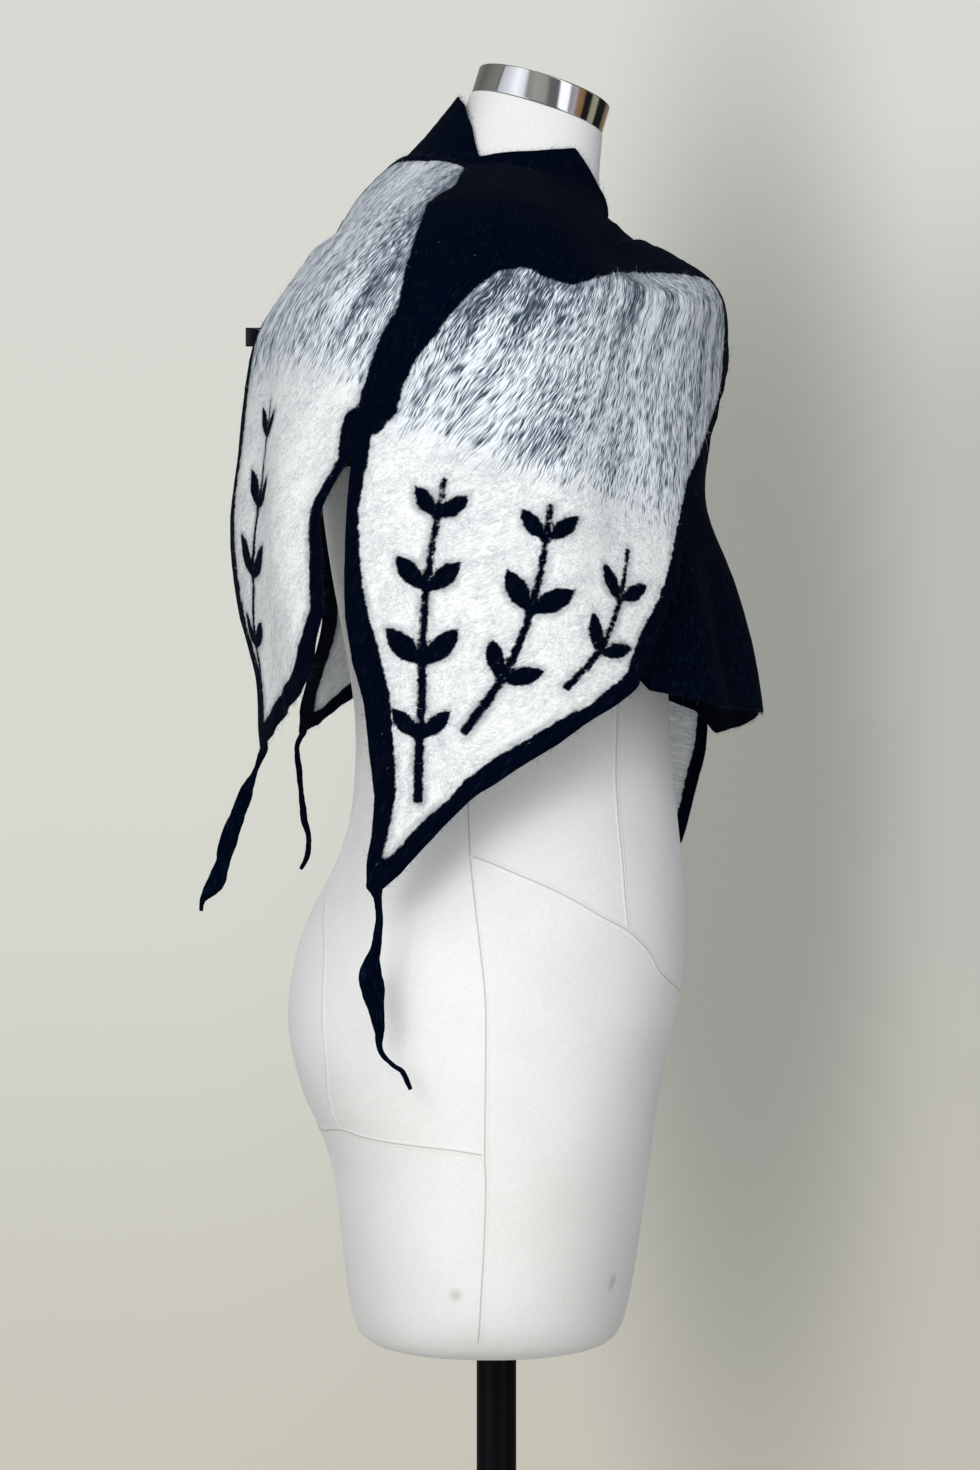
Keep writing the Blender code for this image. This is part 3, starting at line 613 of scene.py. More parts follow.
def new_material(name: str) -> tuple[Material, Adder, Node]:
    """Start a material.

    Args:
        name: its name.

    Returns:
        The material with only a Principled BSDF and its output, add_node for its tree, and its shader.
    """
    material = bpy.data.materials.new(name)
    material.use_nodes = True
    return material, partial(add_node, material.node_tree), material.node_tree.nodes["Principled BSDF"]


# Settings that many nodes share
COLOUR = {"data_type": "RGBA"}
SOFT = {"interpolation_type": "SMOOTHSTEP"}
TIMES_PLUS = {"operation": "MULTIPLY_ADD"}
LEVEL_BANDS = {"wave_type": "BANDS", "bands_direction": "Z"}


@dataclass(frozen=True)
class WetFeltedWool:
    """Merino wool that is wet and rubbed into felt: matt, with crossing fibres and a pebbled face.

    The eye sees no weave but long fibres that shine a little along their length, soft furry edges, and a
    navy cast in the black.
    """

    black: str = "#010614"
    black_fibre: str = "#1b2b40"
    deep_grey: str = "#3a4450"
    mid_grey: str = "#96a1ad"
    light_grey: str = "#e8ecf1"
    off_white: str = "#f1f2f0"
    shade_white: str = "#b9c0c5"
    lint: str = "#5d6c7c"
    halo: str = "#6d7681"
    pebble_mm: float = 2.4
    fibre_mm: float = 0.85
    fibre_length_mm: float = 9.0
    lock_mm: float = 4.2
    lock_length_mm: float = 38.0
    band_mm: float = 13.0
    band_length_mm: float = 110.0
    wisp_mm: float = 3.0
    lint_gap_mm: float = 15.0

    def finish(self, shader: Node, add: Adder, place: Socket, fibres: Node, colour: Node) -> None:
        """Give the shader its colour, the bump of pebbles and fibres, and felt's own values.

        Args:
            shader: the material's shader.
            add: adds a node to its tree.
            place: coordinates in millimetres.
            fibres: the height of the fibres.
            colour: the felt's colour.
        """
        pebbles = add("TexNoise", {
            "Vector": place, "Scale": 1 / self.pebble_mm, "Detail": 3.0, "Roughness": 0.6, "Distortion": 0.7,
        })
        height = add("Math", (fibres, 0.7, pebbles), **TIMES_PLUS)
        bump = add("Bump", {"Height": height, "Strength": 0.8, "Distance": 0.55 * MM})
        fill(shader, {
            "Base Color": colour, "Normal": bump, "Roughness": 0.95, "Specular IOR Level": 0.02,
            "Sheen Weight": 0.012, "Sheen Roughness": 0.5, "Sheen Tint": "#9fb4d8",
        })

    def streaks(self, add: Adder, place: Socket, width: float, length: float, seed: float) -> Node:
        """Noise that is stretched into fibres along the cloth's length.

        Args:
            add: adds a node to the material's tree.
            place: coordinates in millimetres, across and along.
            width: a fibre's width.
            length: a fibre's length.
            seed: shifts the pattern.

        Returns:
            The noise, from 0 to 1.
        """
        wave = add("TexNoise", {"Vector": place, "Scale": 1 / 60.0, "Detail": 1.0}).outputs["Color"]
        curl = add("TexNoise", {"Vector": place, "Scale": 1 / 8.0, "Detail": 1.0}).outputs["Color"]
        shift = add("VectorMath", (wave, (9.0, 9.0, 0.0)), operation="MULTIPLY")
        curled = add("VectorMath", (curl, (2.6, 2.6, 0.0), shift), **TIMES_PLUS)
        bent = add("VectorMath", (place, curled), operation="ADD")
        stretched = add("VectorMath", (bent, (1 / width, 1 / length, 1.0), (seed, seed, seed)), **TIMES_PLUS)
        return add("TexNoise", {"Vector": stretched, "Scale": 1.0, "Detail": 1.5})

    def with_lint(self, add: Adder, place: Socket, colour: Node) -> Node:
        """Add the few specks of lint that cling to black wool to a colour."""
        specks = add("TexVoronoi", {"Vector": place, "Scale": 1 / self.lint_gap_mm})
        return add("Mix", (add("MapRange", (specks, 0.015, 0.05, 0.45, 0.0)), colour, self.lint), **COLOUR)

    def black_material(self) -> Material:
        """Plain black felt, for the under wrap and the tails.

        Returns:
            The material.
        """
        material, add, shader = new_material("wet_felted_black_wool")
        place = add("Attribute", attribute_name="felt_mm").outputs["Vector"]
        fibres = self.streaks(add, place, self.fibre_mm, self.fibre_length_mm, 3.0)
        lighter = add("MapRange", (fibres, 0.52, 0.8, 0.0, 0.55), **SOFT)
        colour = add("Mix", (lighter, self.black, self.black_fibre), **COLOUR)
        self.finish(shader, add, place, fibres, self.with_lint(add, place, colour))
        return material

    def pale_material(self) -> Material:
        """Off-white felt streaked with grey higher up, with black laid in where black_mm is below 0.

        Returns:
            The material.
        """
        material, add, shader = new_material("wet_felted_pale_wool")
        place = add("Attribute", attribute_name="felt_mm").outputs["Vector"]
        black_mm = add("Attribute", attribute_name="black_mm").outputs["Fac"]
        fade = add("Attribute", attribute_name="fade").outputs["Fac"]
        fibres = self.streaks(add, place, self.fibre_mm, self.fibre_length_mm, 0.0)
        locks = self.streaks(add, place, self.lock_mm, self.lock_length_mm, 7.0)
        bands = self.streaks(add, place, self.band_mm, self.band_length_mm, 11.0)

        # Grey wool: locks and short crossing fibres from a deep to a light grey, darker near the yoke in
        # front of the slit by painted shade and a little lighter behind it by painted light
        tone = add("Math", (fibres, 3.0, locks), **TIMES_PLUS)
        tone = add("Math", (bands, 1.1, tone), **TIMES_PLUS)
        tone = add("Math", (fade, 0.55, tone), **TIMES_PLUS)
        grey = add("Mix", (add("MapRange", (tone, 2.06, 2.42)), self.deep_grey, self.mid_grey), **COLOUR)
        grey = add("Mix", (add("MapRange", (tone, 2.4, 2.82)), grey, self.light_grey), **COLOUR)

        # Off-white wool: curled wisps, and clouds where the layer is thinner and the grey shows through
        wisps = add("TexNoise", {
            "Vector": place, "Scale": 1 / self.wisp_mm, "Detail": 2.0, "Roughness": 0.6, "Distortion": 1.6,
        })
        clouds = add("TexNoise", {"Vector": place, "Scale": 1 / 26.0, "Detail": 4.0, "Roughness": 0.6})
        thin = add("MapRange", (add("Math", (wisps, 1.6, clouds), **TIMES_PLUS), 0.85, 1.5))
        white = add("Mix", (thin, self.shade_white, self.off_white), **COLOUR)
        ragged = add("Math", (tone, 0.24, fade), **TIMES_PLUS)
        pale = add("Mix", (add("MapRange", (ragged, 0.72, 1.4), **SOFT), grey, white), **COLOUR)

        # Black laid in: an edge that wobbles, a smoky halo beside it and a few pale fibres over it
        wobble = add("TexNoise", {"Vector": place, "Scale": 1 / 6.0, "Detail": 4.0, "Roughness": 0.75})
        edge = add("Math", (wobble, 5.0, black_mm), **TIMES_PLUS)
        edge = add("Math", (edge, 2.5), operation="SUBTRACT")
        near = add("MapRange", (edge, 0.0, 6.5, 1.0, 0.0), interpolation_type="SMOOTHERSTEP")
        drifts = add("MapRange", (clouds, 0.42, 0.62, 0.12, 0.6))
        smoke = add("Math", (near, drifts), operation="MULTIPLY")
        pale = add("Mix", (smoke, pale, self.halo), **COLOUR)
        cover = add("MapRange", (edge, -0.7, 0.9), **SOFT)
        stray = add("MapRange", (fibres, 0.54, 0.8, 0.0, 0.14), **SOFT)
        black = add("Mix", (stray, self.black, self.deep_grey), **COLOUR)
        colour = add("Mix", (cover, self.with_lint(add, place, black), pale), **COLOUR)
        self.finish(shader, add, place, fibres, colour)
        return material

    def fibre_material(self) -> Material:
        """Single fibres that stand off the felt, black or pale by their own value.

        Returns:
            The material.
        """
        material, add, shader = new_material("loose_wool_fibre")
        pale = add("Attribute", attribute_name="pale").outputs["Fac"]
        fill(shader, {
            "Base Color": add("Mix", (pale, self.black_fibre, self.off_white), **COLOUR), "Roughness": 0.7,
        })
        return material


@dataclass(frozen=True)
class CottonJersey:
    """Bleached cotton jersey, knitted and stretched over the form: matt, smooth, a little marked by use."""

    base: str = "#f0f0ef"
    aged: str = "#e2e1dd"
    smudge: str = "#a7a49d"
    # Painted shade along the middle of the seams' grooves
    seam_painted_shade: str = "#c6c5c3"
    course_mm: float = 0.9
    # The place and the radius of each mark, in millimetres
    smudges: tuple[tuple[float, float, float, float], ...] = (
        (-156.0, 26.5, 637.0, 4.0),
        (-102.0, -75.0, 637.0, 5.0),
        (-160.0, 40.0, 780.0, 2.2),
        (-120.0, -84.0, 742.0, 2.0),
    )

    def material(self) -> Material:
        """The cover's finish. Its courses are drawn coarser than the real 0.5 mm so that they show.

        Returns:
            The material.
        """
        material, add, shader = new_material("cotton_jersey_cover")
        place = add("TexCoord").outputs["Object"]
        cloud = add("TexNoise", {"Vector": place, "Scale": 9.0, "Detail": 5.0})
        fine = add("TexNoise", {"Vector": place, "Scale": 1 / (1.6 * MM), "Detail": 2.0})
        grain = add("Math", (fine, 0.5, cloud), **TIMES_PLUS)
        uneven = add("MapRange", (grain, 0.55, 1.1), **SOFT)
        colour = add("Mix", (uneven, self.base, self.aged), **COLOUR)
        for x, y, z, radius in self.smudges:
            apart = add("VectorMath", (place, (x * MM, y * MM, z * MM)), operation="DISTANCE")
            ragged = add("Math", (fine, radius * MM, apart), **TIMES_PLUS)
            spot = add("MapRange", (ragged, 0.6 * radius * MM, 2.2 * radius * MM, 0.55, 0.0), **SOFT)
            colour = add("Mix", (spot, colour, self.smudge), **COLOUR)
        groove = add("Attribute", attribute_name="groove").outputs["Fac"]
        # Painted shade along the middle of each seam's groove, where the groove value is 1
        colour = add("Mix", (groove, colour, self.seam_painted_shade), **COLOUR)
        scale = 1 / (self.course_mm * MM) / 20
        courses = add("TexWave", {"Vector": place, "Scale": scale, "Distortion": 1.5}, **LEVEL_BANDS)
        height = add("Math", (courses.outputs["Fac"], 0.35, fine), **TIMES_PLUS)
        bump = add("Bump", {"Height": height, "Strength": 0.3, "Distance": 0.15 * MM})
        fill(shader, {
            "Base Color": colour, "Normal": bump, "Roughness": 0.86, "Specular IOR Level": 0.3,
            "Sheen Weight": 0.1,
        })
        return material


@dataclass(frozen=True)
class ChromePlate:
    """Bright chromium plate on steel: a clear mirror with a faint blue cast and fine wiping marks."""

    colour: str = "#e8eaeb"

    def material(self) -> Material:
        """The cap's finish.

        Returns:
            The material.
        """
        material, add, shader = new_material("chrome_plated_steel")
        place = add("TexCoord").outputs["Object"]
        wiped = add("VectorMath", (place, (60.0, 60.0, 900.0)), operation="MULTIPLY")
        marks = add("TexNoise", {"Vector": wiped, "Scale": 1.0, "Detail": 3.0})
        rough = add("MapRange", (marks, 0.0, 1.0, 0.05, 0.14))
        fill(shader, {"Base Color": self.colour, "Metallic": 1.0, "Roughness": rough})
        return material


@dataclass(frozen=True)
class PowderCoat:
    """Black polyester powder baked on steel tube: satin, with a faint orange peel."""

    colour: str = "#030408"
    peel_mm: float = 1.4

    def material(self) -> Material:
        """The stand's finish.

        Returns:
            The material.
        """
        material, add, shader = new_material("powder_coated_steel")
        place = add("TexCoord").outputs["Object"]
        peel = add("TexNoise", {"Vector": place, "Scale": 1 / (self.peel_mm * MM), "Detail": 1.0})
        bump = add("Bump", {"Height": peel, "Strength": 0.25, "Distance": 0.05 * MM})
        fill(shader, {
            "Base Color": self.colour, "Normal": bump, "Roughness": 0.34, "Specular IOR Level": 0.1,
        })
        return material


@dataclass(frozen=True)
class SatinTape:
    """Black woven satin tape: denser and a little shinier than the felt, with a fine cross rib."""

    colour: str = "#101217"
    rib_mm: float = 0.8

    def material(self) -> Material:
        """The tab's finish. The ribs are drawn coarser than the real 0.3 mm so that they show.

        Returns:
            The material.
        """
        material, add, shader = new_material("woven_satin_tape")
        place = add("TexCoord").outputs["Object"]
        ribs = add("TexWave", {"Vector": place, "Scale": 1 / (self.rib_mm * MM) / 20}, **LEVEL_BANDS)
        bump = add("Bump", {"Height": ribs.outputs["Fac"], "Strength": 0.5, "Distance": 0.1 * MM})
        fill(shader, {"Base Color": self.colour, "Normal": bump, "Roughness": 0.5})
        return material


@dataclass
class DressForm:
    """The limbless form: a lofted body with a sewn cover, and a chromed cap on its neck."""

    sides: int = 160
    rows_between: int = 6
    seam_step: float = 3.0
    cap_radius: float = 46.5
    cap_height: float = 20.0
    cap_soft_edge: float = 1.2
    cap_dish: float = 1.4
    part_gap: float = 0.3

    def skin(self) -> Skin:
        """The body's surface from the lower edge to the neck top.

        Returns:
            The skin, open at both ends.
        """
        place = np.linspace(0, len(FORM_ROWS) - 1, (len(FORM_ROWS) - 1) * self.rows_between + 1)
        at = read_rows(FORM_ROWS, place)
        zero = np.zeros_like(place)
        back = np.stack([zero, at["back_y"], at["back_z"]], axis=-1)[:, None]
        front = np.stack([zero, at["front_y"], at["front_z"]], axis=-1)[:, None]
        angle = np.linspace(0, 2 * math.pi, self.sides, endpoint=False)
        sine = signed_power(np.sin(angle), 2 / FORM_SQUARENESS)
        cosine = signed_power(np.cos(angle), 2 / FORM_SQUARENESS)
        points = (back + front) / 2 + (front - back) / 2 * cosine[None, :, None]
        points = points + np.array([1.0, 0.0, 0.0]) * (at["half_width"][:, None] * sine)[..., None]
        return Skin(points.reshape(-1, 3), grid_faces(grid_numbers(points.shape[:2]), flip=True))

    def body(self, skin: Skin, material: Material) -> Thing:
        """The body with its flat ends closed.

        Args:
            skin: its surface.
            material: the cover's finish.

        Returns:
            The object.
        """
        middle = len(skin.points)
        last = middle - self.sides
        ends = [skin.points[: self.sides].mean(axis=0), skin.points[last:].mean(axis=0)]
        faces = skin.faces.tolist()
        for k in range(self.sides):
            after = (k + 1) % self.sides
            faces += [[after, k, middle], [last + k, last + after, middle + 1]]
        points = np.concatenate([skin.points, np.array(ends)])
        made = make_piece("form_body_cover", points, faces, material)
        made.data.set_sharp_from_angle(angle=math.radians(50))
        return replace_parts(made, "form_body")

    def seams(self, tree: BVHTree, material: Material) -> Thing:
        """Sewn seams as two soft ridges with a groove between them, on both sides of the form.

        Args:
            tree: the body's surface.
            material: the cover's finish.

        Returns:
            The object.
        """
        half = ((-3.2, -0.15), (-1.6, 0.22), (-0.6, 0.5), (-0.42, 0.3))
        profile = (*half, (0.0, 0.02), *((-across, up) for across, up in half[::-1]))
        # How much painted shade the cover puts on each row of the seam's profile
        in_groove = np.array([0.0, 0.0, 0.0, 0.85, 1.0, 0.85, 0.0, 0.0, 0.0])
        points: list[Array] = []
        faces: list[Array] = []
        start = 0
        for marks in FORM_SEAMS:
            for sign in (1.0, -1.0):
                rough = smooth_line([(x * sign, y, z) for x, y, z in marks], 40 * (len(marks) - 1) + 1)
                length = run_length(rough)[-1]
                even = np.linspace(0, length, max(2, int(length / self.seam_step)))
                line, normal = on_surface(rough, even, tree)
                side = unit(np.cross(normal, np.gradient(line, axis=0)))
                rows = np.stack([line + side * across + normal * up for across, up in profile], axis=1)
                points.append(rows.reshape(-1, 3))
                faces.append(grid_faces(start + grid_numbers(rows.shape[:2], closed=False)))
                start += rows[..., 0].size
        made = make_piece(
            "form_cover_seams", np.concatenate(points), np.concatenate(faces), material
        )
        add_values(made, "groove", np.tile(in_groove, start // len(profile)))
        return made

    def cap(self, material: Material) -> Thing:
        """The chromed neck cap, turned with soft edges and tilted with the neck.

        Args:
            material: its finish.

        Returns:
            The object.
        """
        sides = 128
        top = FORM_ROWS[-1]
        back = Vector((0.0, top.back_y, top.back_z))
        front = Vector((0.0, top.front_y, top.front_z))
        up = Vector((1.0, 0.0, 0.0)).cross(front - back).normalized()
        up = up if up.z > 0 else -up
        radius, height, soft = self.cap_radius, self.cap_height, self.cap_soft_edge
        arcs = [math.pi / 8 * step for step in range(5)]
        profile = [(0.0, 0.0), (radius - 1.6, 0.0)]
        profile += [(radius - soft + soft * math.sin(a), soft - soft * math.cos(a)) for a in arcs]
        profile += [(radius - soft + soft * math.cos(a), height - soft + soft * math.sin(a)) for a in arcs]
        # A flat lip, and a shallow dish inside it
        profile += [(radius - 3.6, height), (radius - 4.2, height - 0.3)]
        profile += [(radius - 4.6, height - self.cap_dish), (0.0, height - self.cap_dish)]
        angle = np.linspace(0, 2 * math.pi, sides, endpoint=False)
        cosine, sine = np.cos(angle), np.sin(angle)
        rings = [np.stack([r * cosine, r * sine, np.full(sides, z)], axis=-1) for r, z in profile]
        turn = np.array(Vector((0.0, 0.0, 1.0)).rotation_difference(up).to_matrix())
        points = np.stack(rings) @ turn.T + np.array((back + front) / 2 + up * self.part_gap)
        faces = grid_faces(grid_numbers(points.shape[:2]), flip=True)
        made = make_piece("chromed_neck_cap", points.reshape(-1, 3), faces, material)
        made.data.set_sharp_from_angle(angle=math.radians(35))
        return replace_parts(made, "neck_cap")


SIDE_SEAM = (
    (-128, 18.5, 950), (-141, 17, 915), (-156.5, 12.6, 875), (-168, 7.6, 831), (-171, 6.9, 801),
    (-170, 7.6, 728), (-168, 6.9, 709), (-163, 8.2, 668), (-154, 11.4, 613), (-150, 12.7, 596),
)
HIP_SEAM = (
    (-141, 17, 915), (-144, 5, 911), (-147.5, -14, 903), (-147.5, -39, 892), (-141, -66, 877),
    (-129, -83, 867), (-114, -97, 853), (-96, -107, 836), (-50, -122, 822), (0, -126, 816),
)
SEAT_SEAM = (
    (0, 122, 730), (-69, 114, 732), (-110, 101, 737), (-135, 84, 735), (-158, 56, 733), (-168, 29, 731),
    (-170, 9, 728),
)
BACK_SEAM = (
    (-50, 88, 985), (-47, 98, 945), (-45, 109, 897), (-96, 112, 858), (-112, 111.5, 826), (-119, 110, 785),
    (-112, 108, 760), (-109, 103, 739),
)
FRONT_SEAM = (
    (-100, -78, 1030), (-104, -78, 990), (-111, -78, 950), (-119, -80.5, 917), (-125, -82, 890),
    (-127.5, -84, 868),
)
FORM_SEAMS = (SIDE_SEAM, HIP_SEAM, SEAT_SEAM, BACK_SEAM, FRONT_SEAM)


@dataclass
class UnderWrap:
    """The black layer next to the form: a standing collar, a slit neck and a flared front."""

    columns: int = 240
    upper_rows: int = 58
    lower_rows: int = 52
    shoulder_place: float = 5.0
    thickness: float = 1.8
    gap: float = 1.0
    hem_wave: float = 1.4
    room: float = 0.3

    def skin(self, form_tree: BVHTree) -> Skin:
        """The inner side, clear of the form.

        Args:
            form_tree: the body of the form.

        Returns:
            The skin.
        """
        turn = 180.0 - 360.0 * np.arange(self.columns) / self.columns
        last = self.last_place(turn)
        upper = np.linspace(0, self.shoulder_place, self.upper_rows, endpoint=False)
        lower = np.linspace(0, 1, self.lower_rows + 1)
        place = np.concatenate([
            np.repeat(upper[:, None], self.columns, axis=1),
            self.shoulder_place + (last - self.shoulder_place)[None] * lower[:, None],
        ])
        points = under_points(np.broadcast_to(turn, place.shape), place)
        flat = points.reshape(-1, 3)
        flat = stand_off(flat, form_tree, np.full(len(flat), self.gap))
        return Skin(flat, grid_faces(grid_numbers(place.shape)))

    def last_place(self, turn: Array) -> Array:
        """The place among the rings at which each column reaches the hem.

        Args:
            turn: each column's turn.

        Returns:
            A place for each column.
        """
        trial = np.linspace(self.shoulder_place, len(UNDER_RINGS) - 1, 200)
        shape = (len(turn), len(trial))
        height = under_points(np.broadcast_to(turn[:, None], shape), np.broadcast_to(trial, shape))[..., 2]
        wave = np.array([noise.noise(Vector((t / 9.0, 0.5, 0.0))) for t in turn])
        hem = station_value(UNDER_HEM, turn) + self.hem_wave * wave
        return np.array([np.interp(-h, -row, trial) for h, row in zip(hem, height)])

    def piece(self, skin: Skin, material: Material) -> Thing:
        """The sheet with its thickness, its pebbled face and its fibre coordinates.

        Args:
            skin: its inner side.
            material: its finish.

        Returns:
            The object.
        """
        cloth = thicken(skin, self.thickness + pebbled(skin.points, 0.28, 0.15, 1))
        made = make_piece("under_wrap_felt", cloth.points, cloth.faces, material)
        along = np.linalg.norm(skin.points[:, :2], axis=1)
        around = np.degrees(np.arctan2(skin.points[:, 0], skin.points[:, 1]))
        spread = np.stack([around * MM_PER_DEGREE, along - skin.points[:, 2], np.zeros_like(along)], axis=-1)
        add_values(made, "felt_mm", spread[cloth.source])
        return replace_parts(made, "under_wrap")

    def outer(self, skin: Skin) -> Skin:
        """The outer side, on which the overlays lie."""
        return Skin(skin.points + skin.normals() * (self.thickness + self.room), skin.faces)


class Waver(NamedTuple):
    """How far the front panel's edge along the slit stands towards the back at a height, in degrees."""

    z: float
    degrees: float


SLIT_WAVER = tuple(Waver(*row) for row in (
    (895, 1), (912, 0.8), (932, -1), (956, -1.9), (984, -0.6), (1013, 0.5), (1036, 2.6), (1065, 3.4),
    (1089, 3), (1138, 1.6), (1182, 0),
))


class YokeCorner(NamedTuple):
    """A corner of the black yoke as seen from the side: how far back, and how high."""

    y: float
    z: float


# From the top edge at the back, down to the slit's top and forward along the yoke's lower edge
YOKE = tuple(YokeCorner(*row) for row in (
    (21, 1450), (21, 1362), (27, 1342), (39, 1333), (44, 1320), (49, 1302), (55, 1280), (60, 1254),
    (71, 1236), (84, 1196), (84, 1170), (71, 1177), (61, 1188), (57, 1204), (50, 1219), (37, 1236),
    (28, 1248), (14, 1264), (0, 1275), (-18, 1277), (-32, 1270), (-45, 1267), (-63, 1273), (-85, 1283),
    (-105, 1286), (-140, 1287), (-210, 1290), (-210, 1450),
))


def inside_distance(places: Array, corners: Array) -> Array:
    """Distance to a closed outline, below 0 inside it.

    Args:
        places: points in the outline's plane.
        corners: the outline's corners in order.

    Returns:
        A distance for each point.
    """
    nearest = np.full(len(places), 1e6)
    inside = np.zeros(len(places), bool)
    for start, end in zip(corners, np.roll(corners, -1, axis=0)):
        run = end - start
        share = np.clip(((places - start) @ run) / (run @ run), 0, 1)
        nearest = np.minimum(nearest, np.linalg.norm(places - start - share[:, None] * run, axis=1))
        crosses = (start[1] > places[:, 1]) != (end[1] > places[:, 1])
        rise = run[1] if run[1] else 1e-9
        inside ^= crosses & (places[:, 0] < start[0] + (places[:, 1] - start[1]) * run[0] / rise)
    return np.where(inside, -nearest, nearest)


@dataclass(frozen=True)
class Sprig:
    """A curved stem with paired leaflets. Its marks are a turn and a height each, from its root up."""

    marks: tuple[tuple[float, float], ...]
    half_width: float = 3.1
    leaf_gap: float = 45.0
    leaf_length: float = 35.0
    leaf_half_width: float = 7.0
    spread_degrees: float = 44.0
    stem_taper: float = 0.35
    first_leaf: float = 0.8
    leaf_root: float = 2.0
    depth: float = 14.0


# Widths of the black borders: the heights, and the width at each
SLIT_BORDER = ((931, 971, 1008, 1039, 1085, 1131, 1161), (10, 16, 18, 20, 12, 8, 11))
BEHIND_SLIT_BORDER = ((1068, 1180), (7, 3.5))
BACK_HEM_BORDER = ((990, 1040, 1070), (11, 13, 7))
FRONT_BORDER = ((1180, 1235, 1290), (20, 28, 40))


# A distance beyond any on the part, where nothing is near
FAR = 1e3


def soft_union(first: Array, second: Array) -> Array:
    """The smaller of two distances, a little less where they are nearly alike."""
    near = np.clip(1 - np.abs(first - second) / 3.0, 0, 1)
    return np.minimum(first, second) - 0.75 * near * near


def shortest(points: Array, marks: Array, width: Array) -> Array:
    """Distance from each point to the nearest mark, less that mark's width.

    Args:
        points: where to measure from.
        marks: the marks.
        width: a width for each mark.

    Returns:
        A distance for each point.
    """
    at_once = 2000
    found = np.empty(len(points))
    for first in range(0, len(points), at_once):
        block = points[first : first + at_once]
        apart = np.linalg.norm(block[:, None] - marks[None], axis=2) - width
        found[first : first + at_once] = apart.min(axis=1)
    return found


@dataclass
class Laid:
    """An overlay's inner side. Each point has its turn, and whether it is behind the slit, or on an edge."""

    skin: Skin
    turn: Array
    behind: Array
    on_top: Array
    on_hem: Array


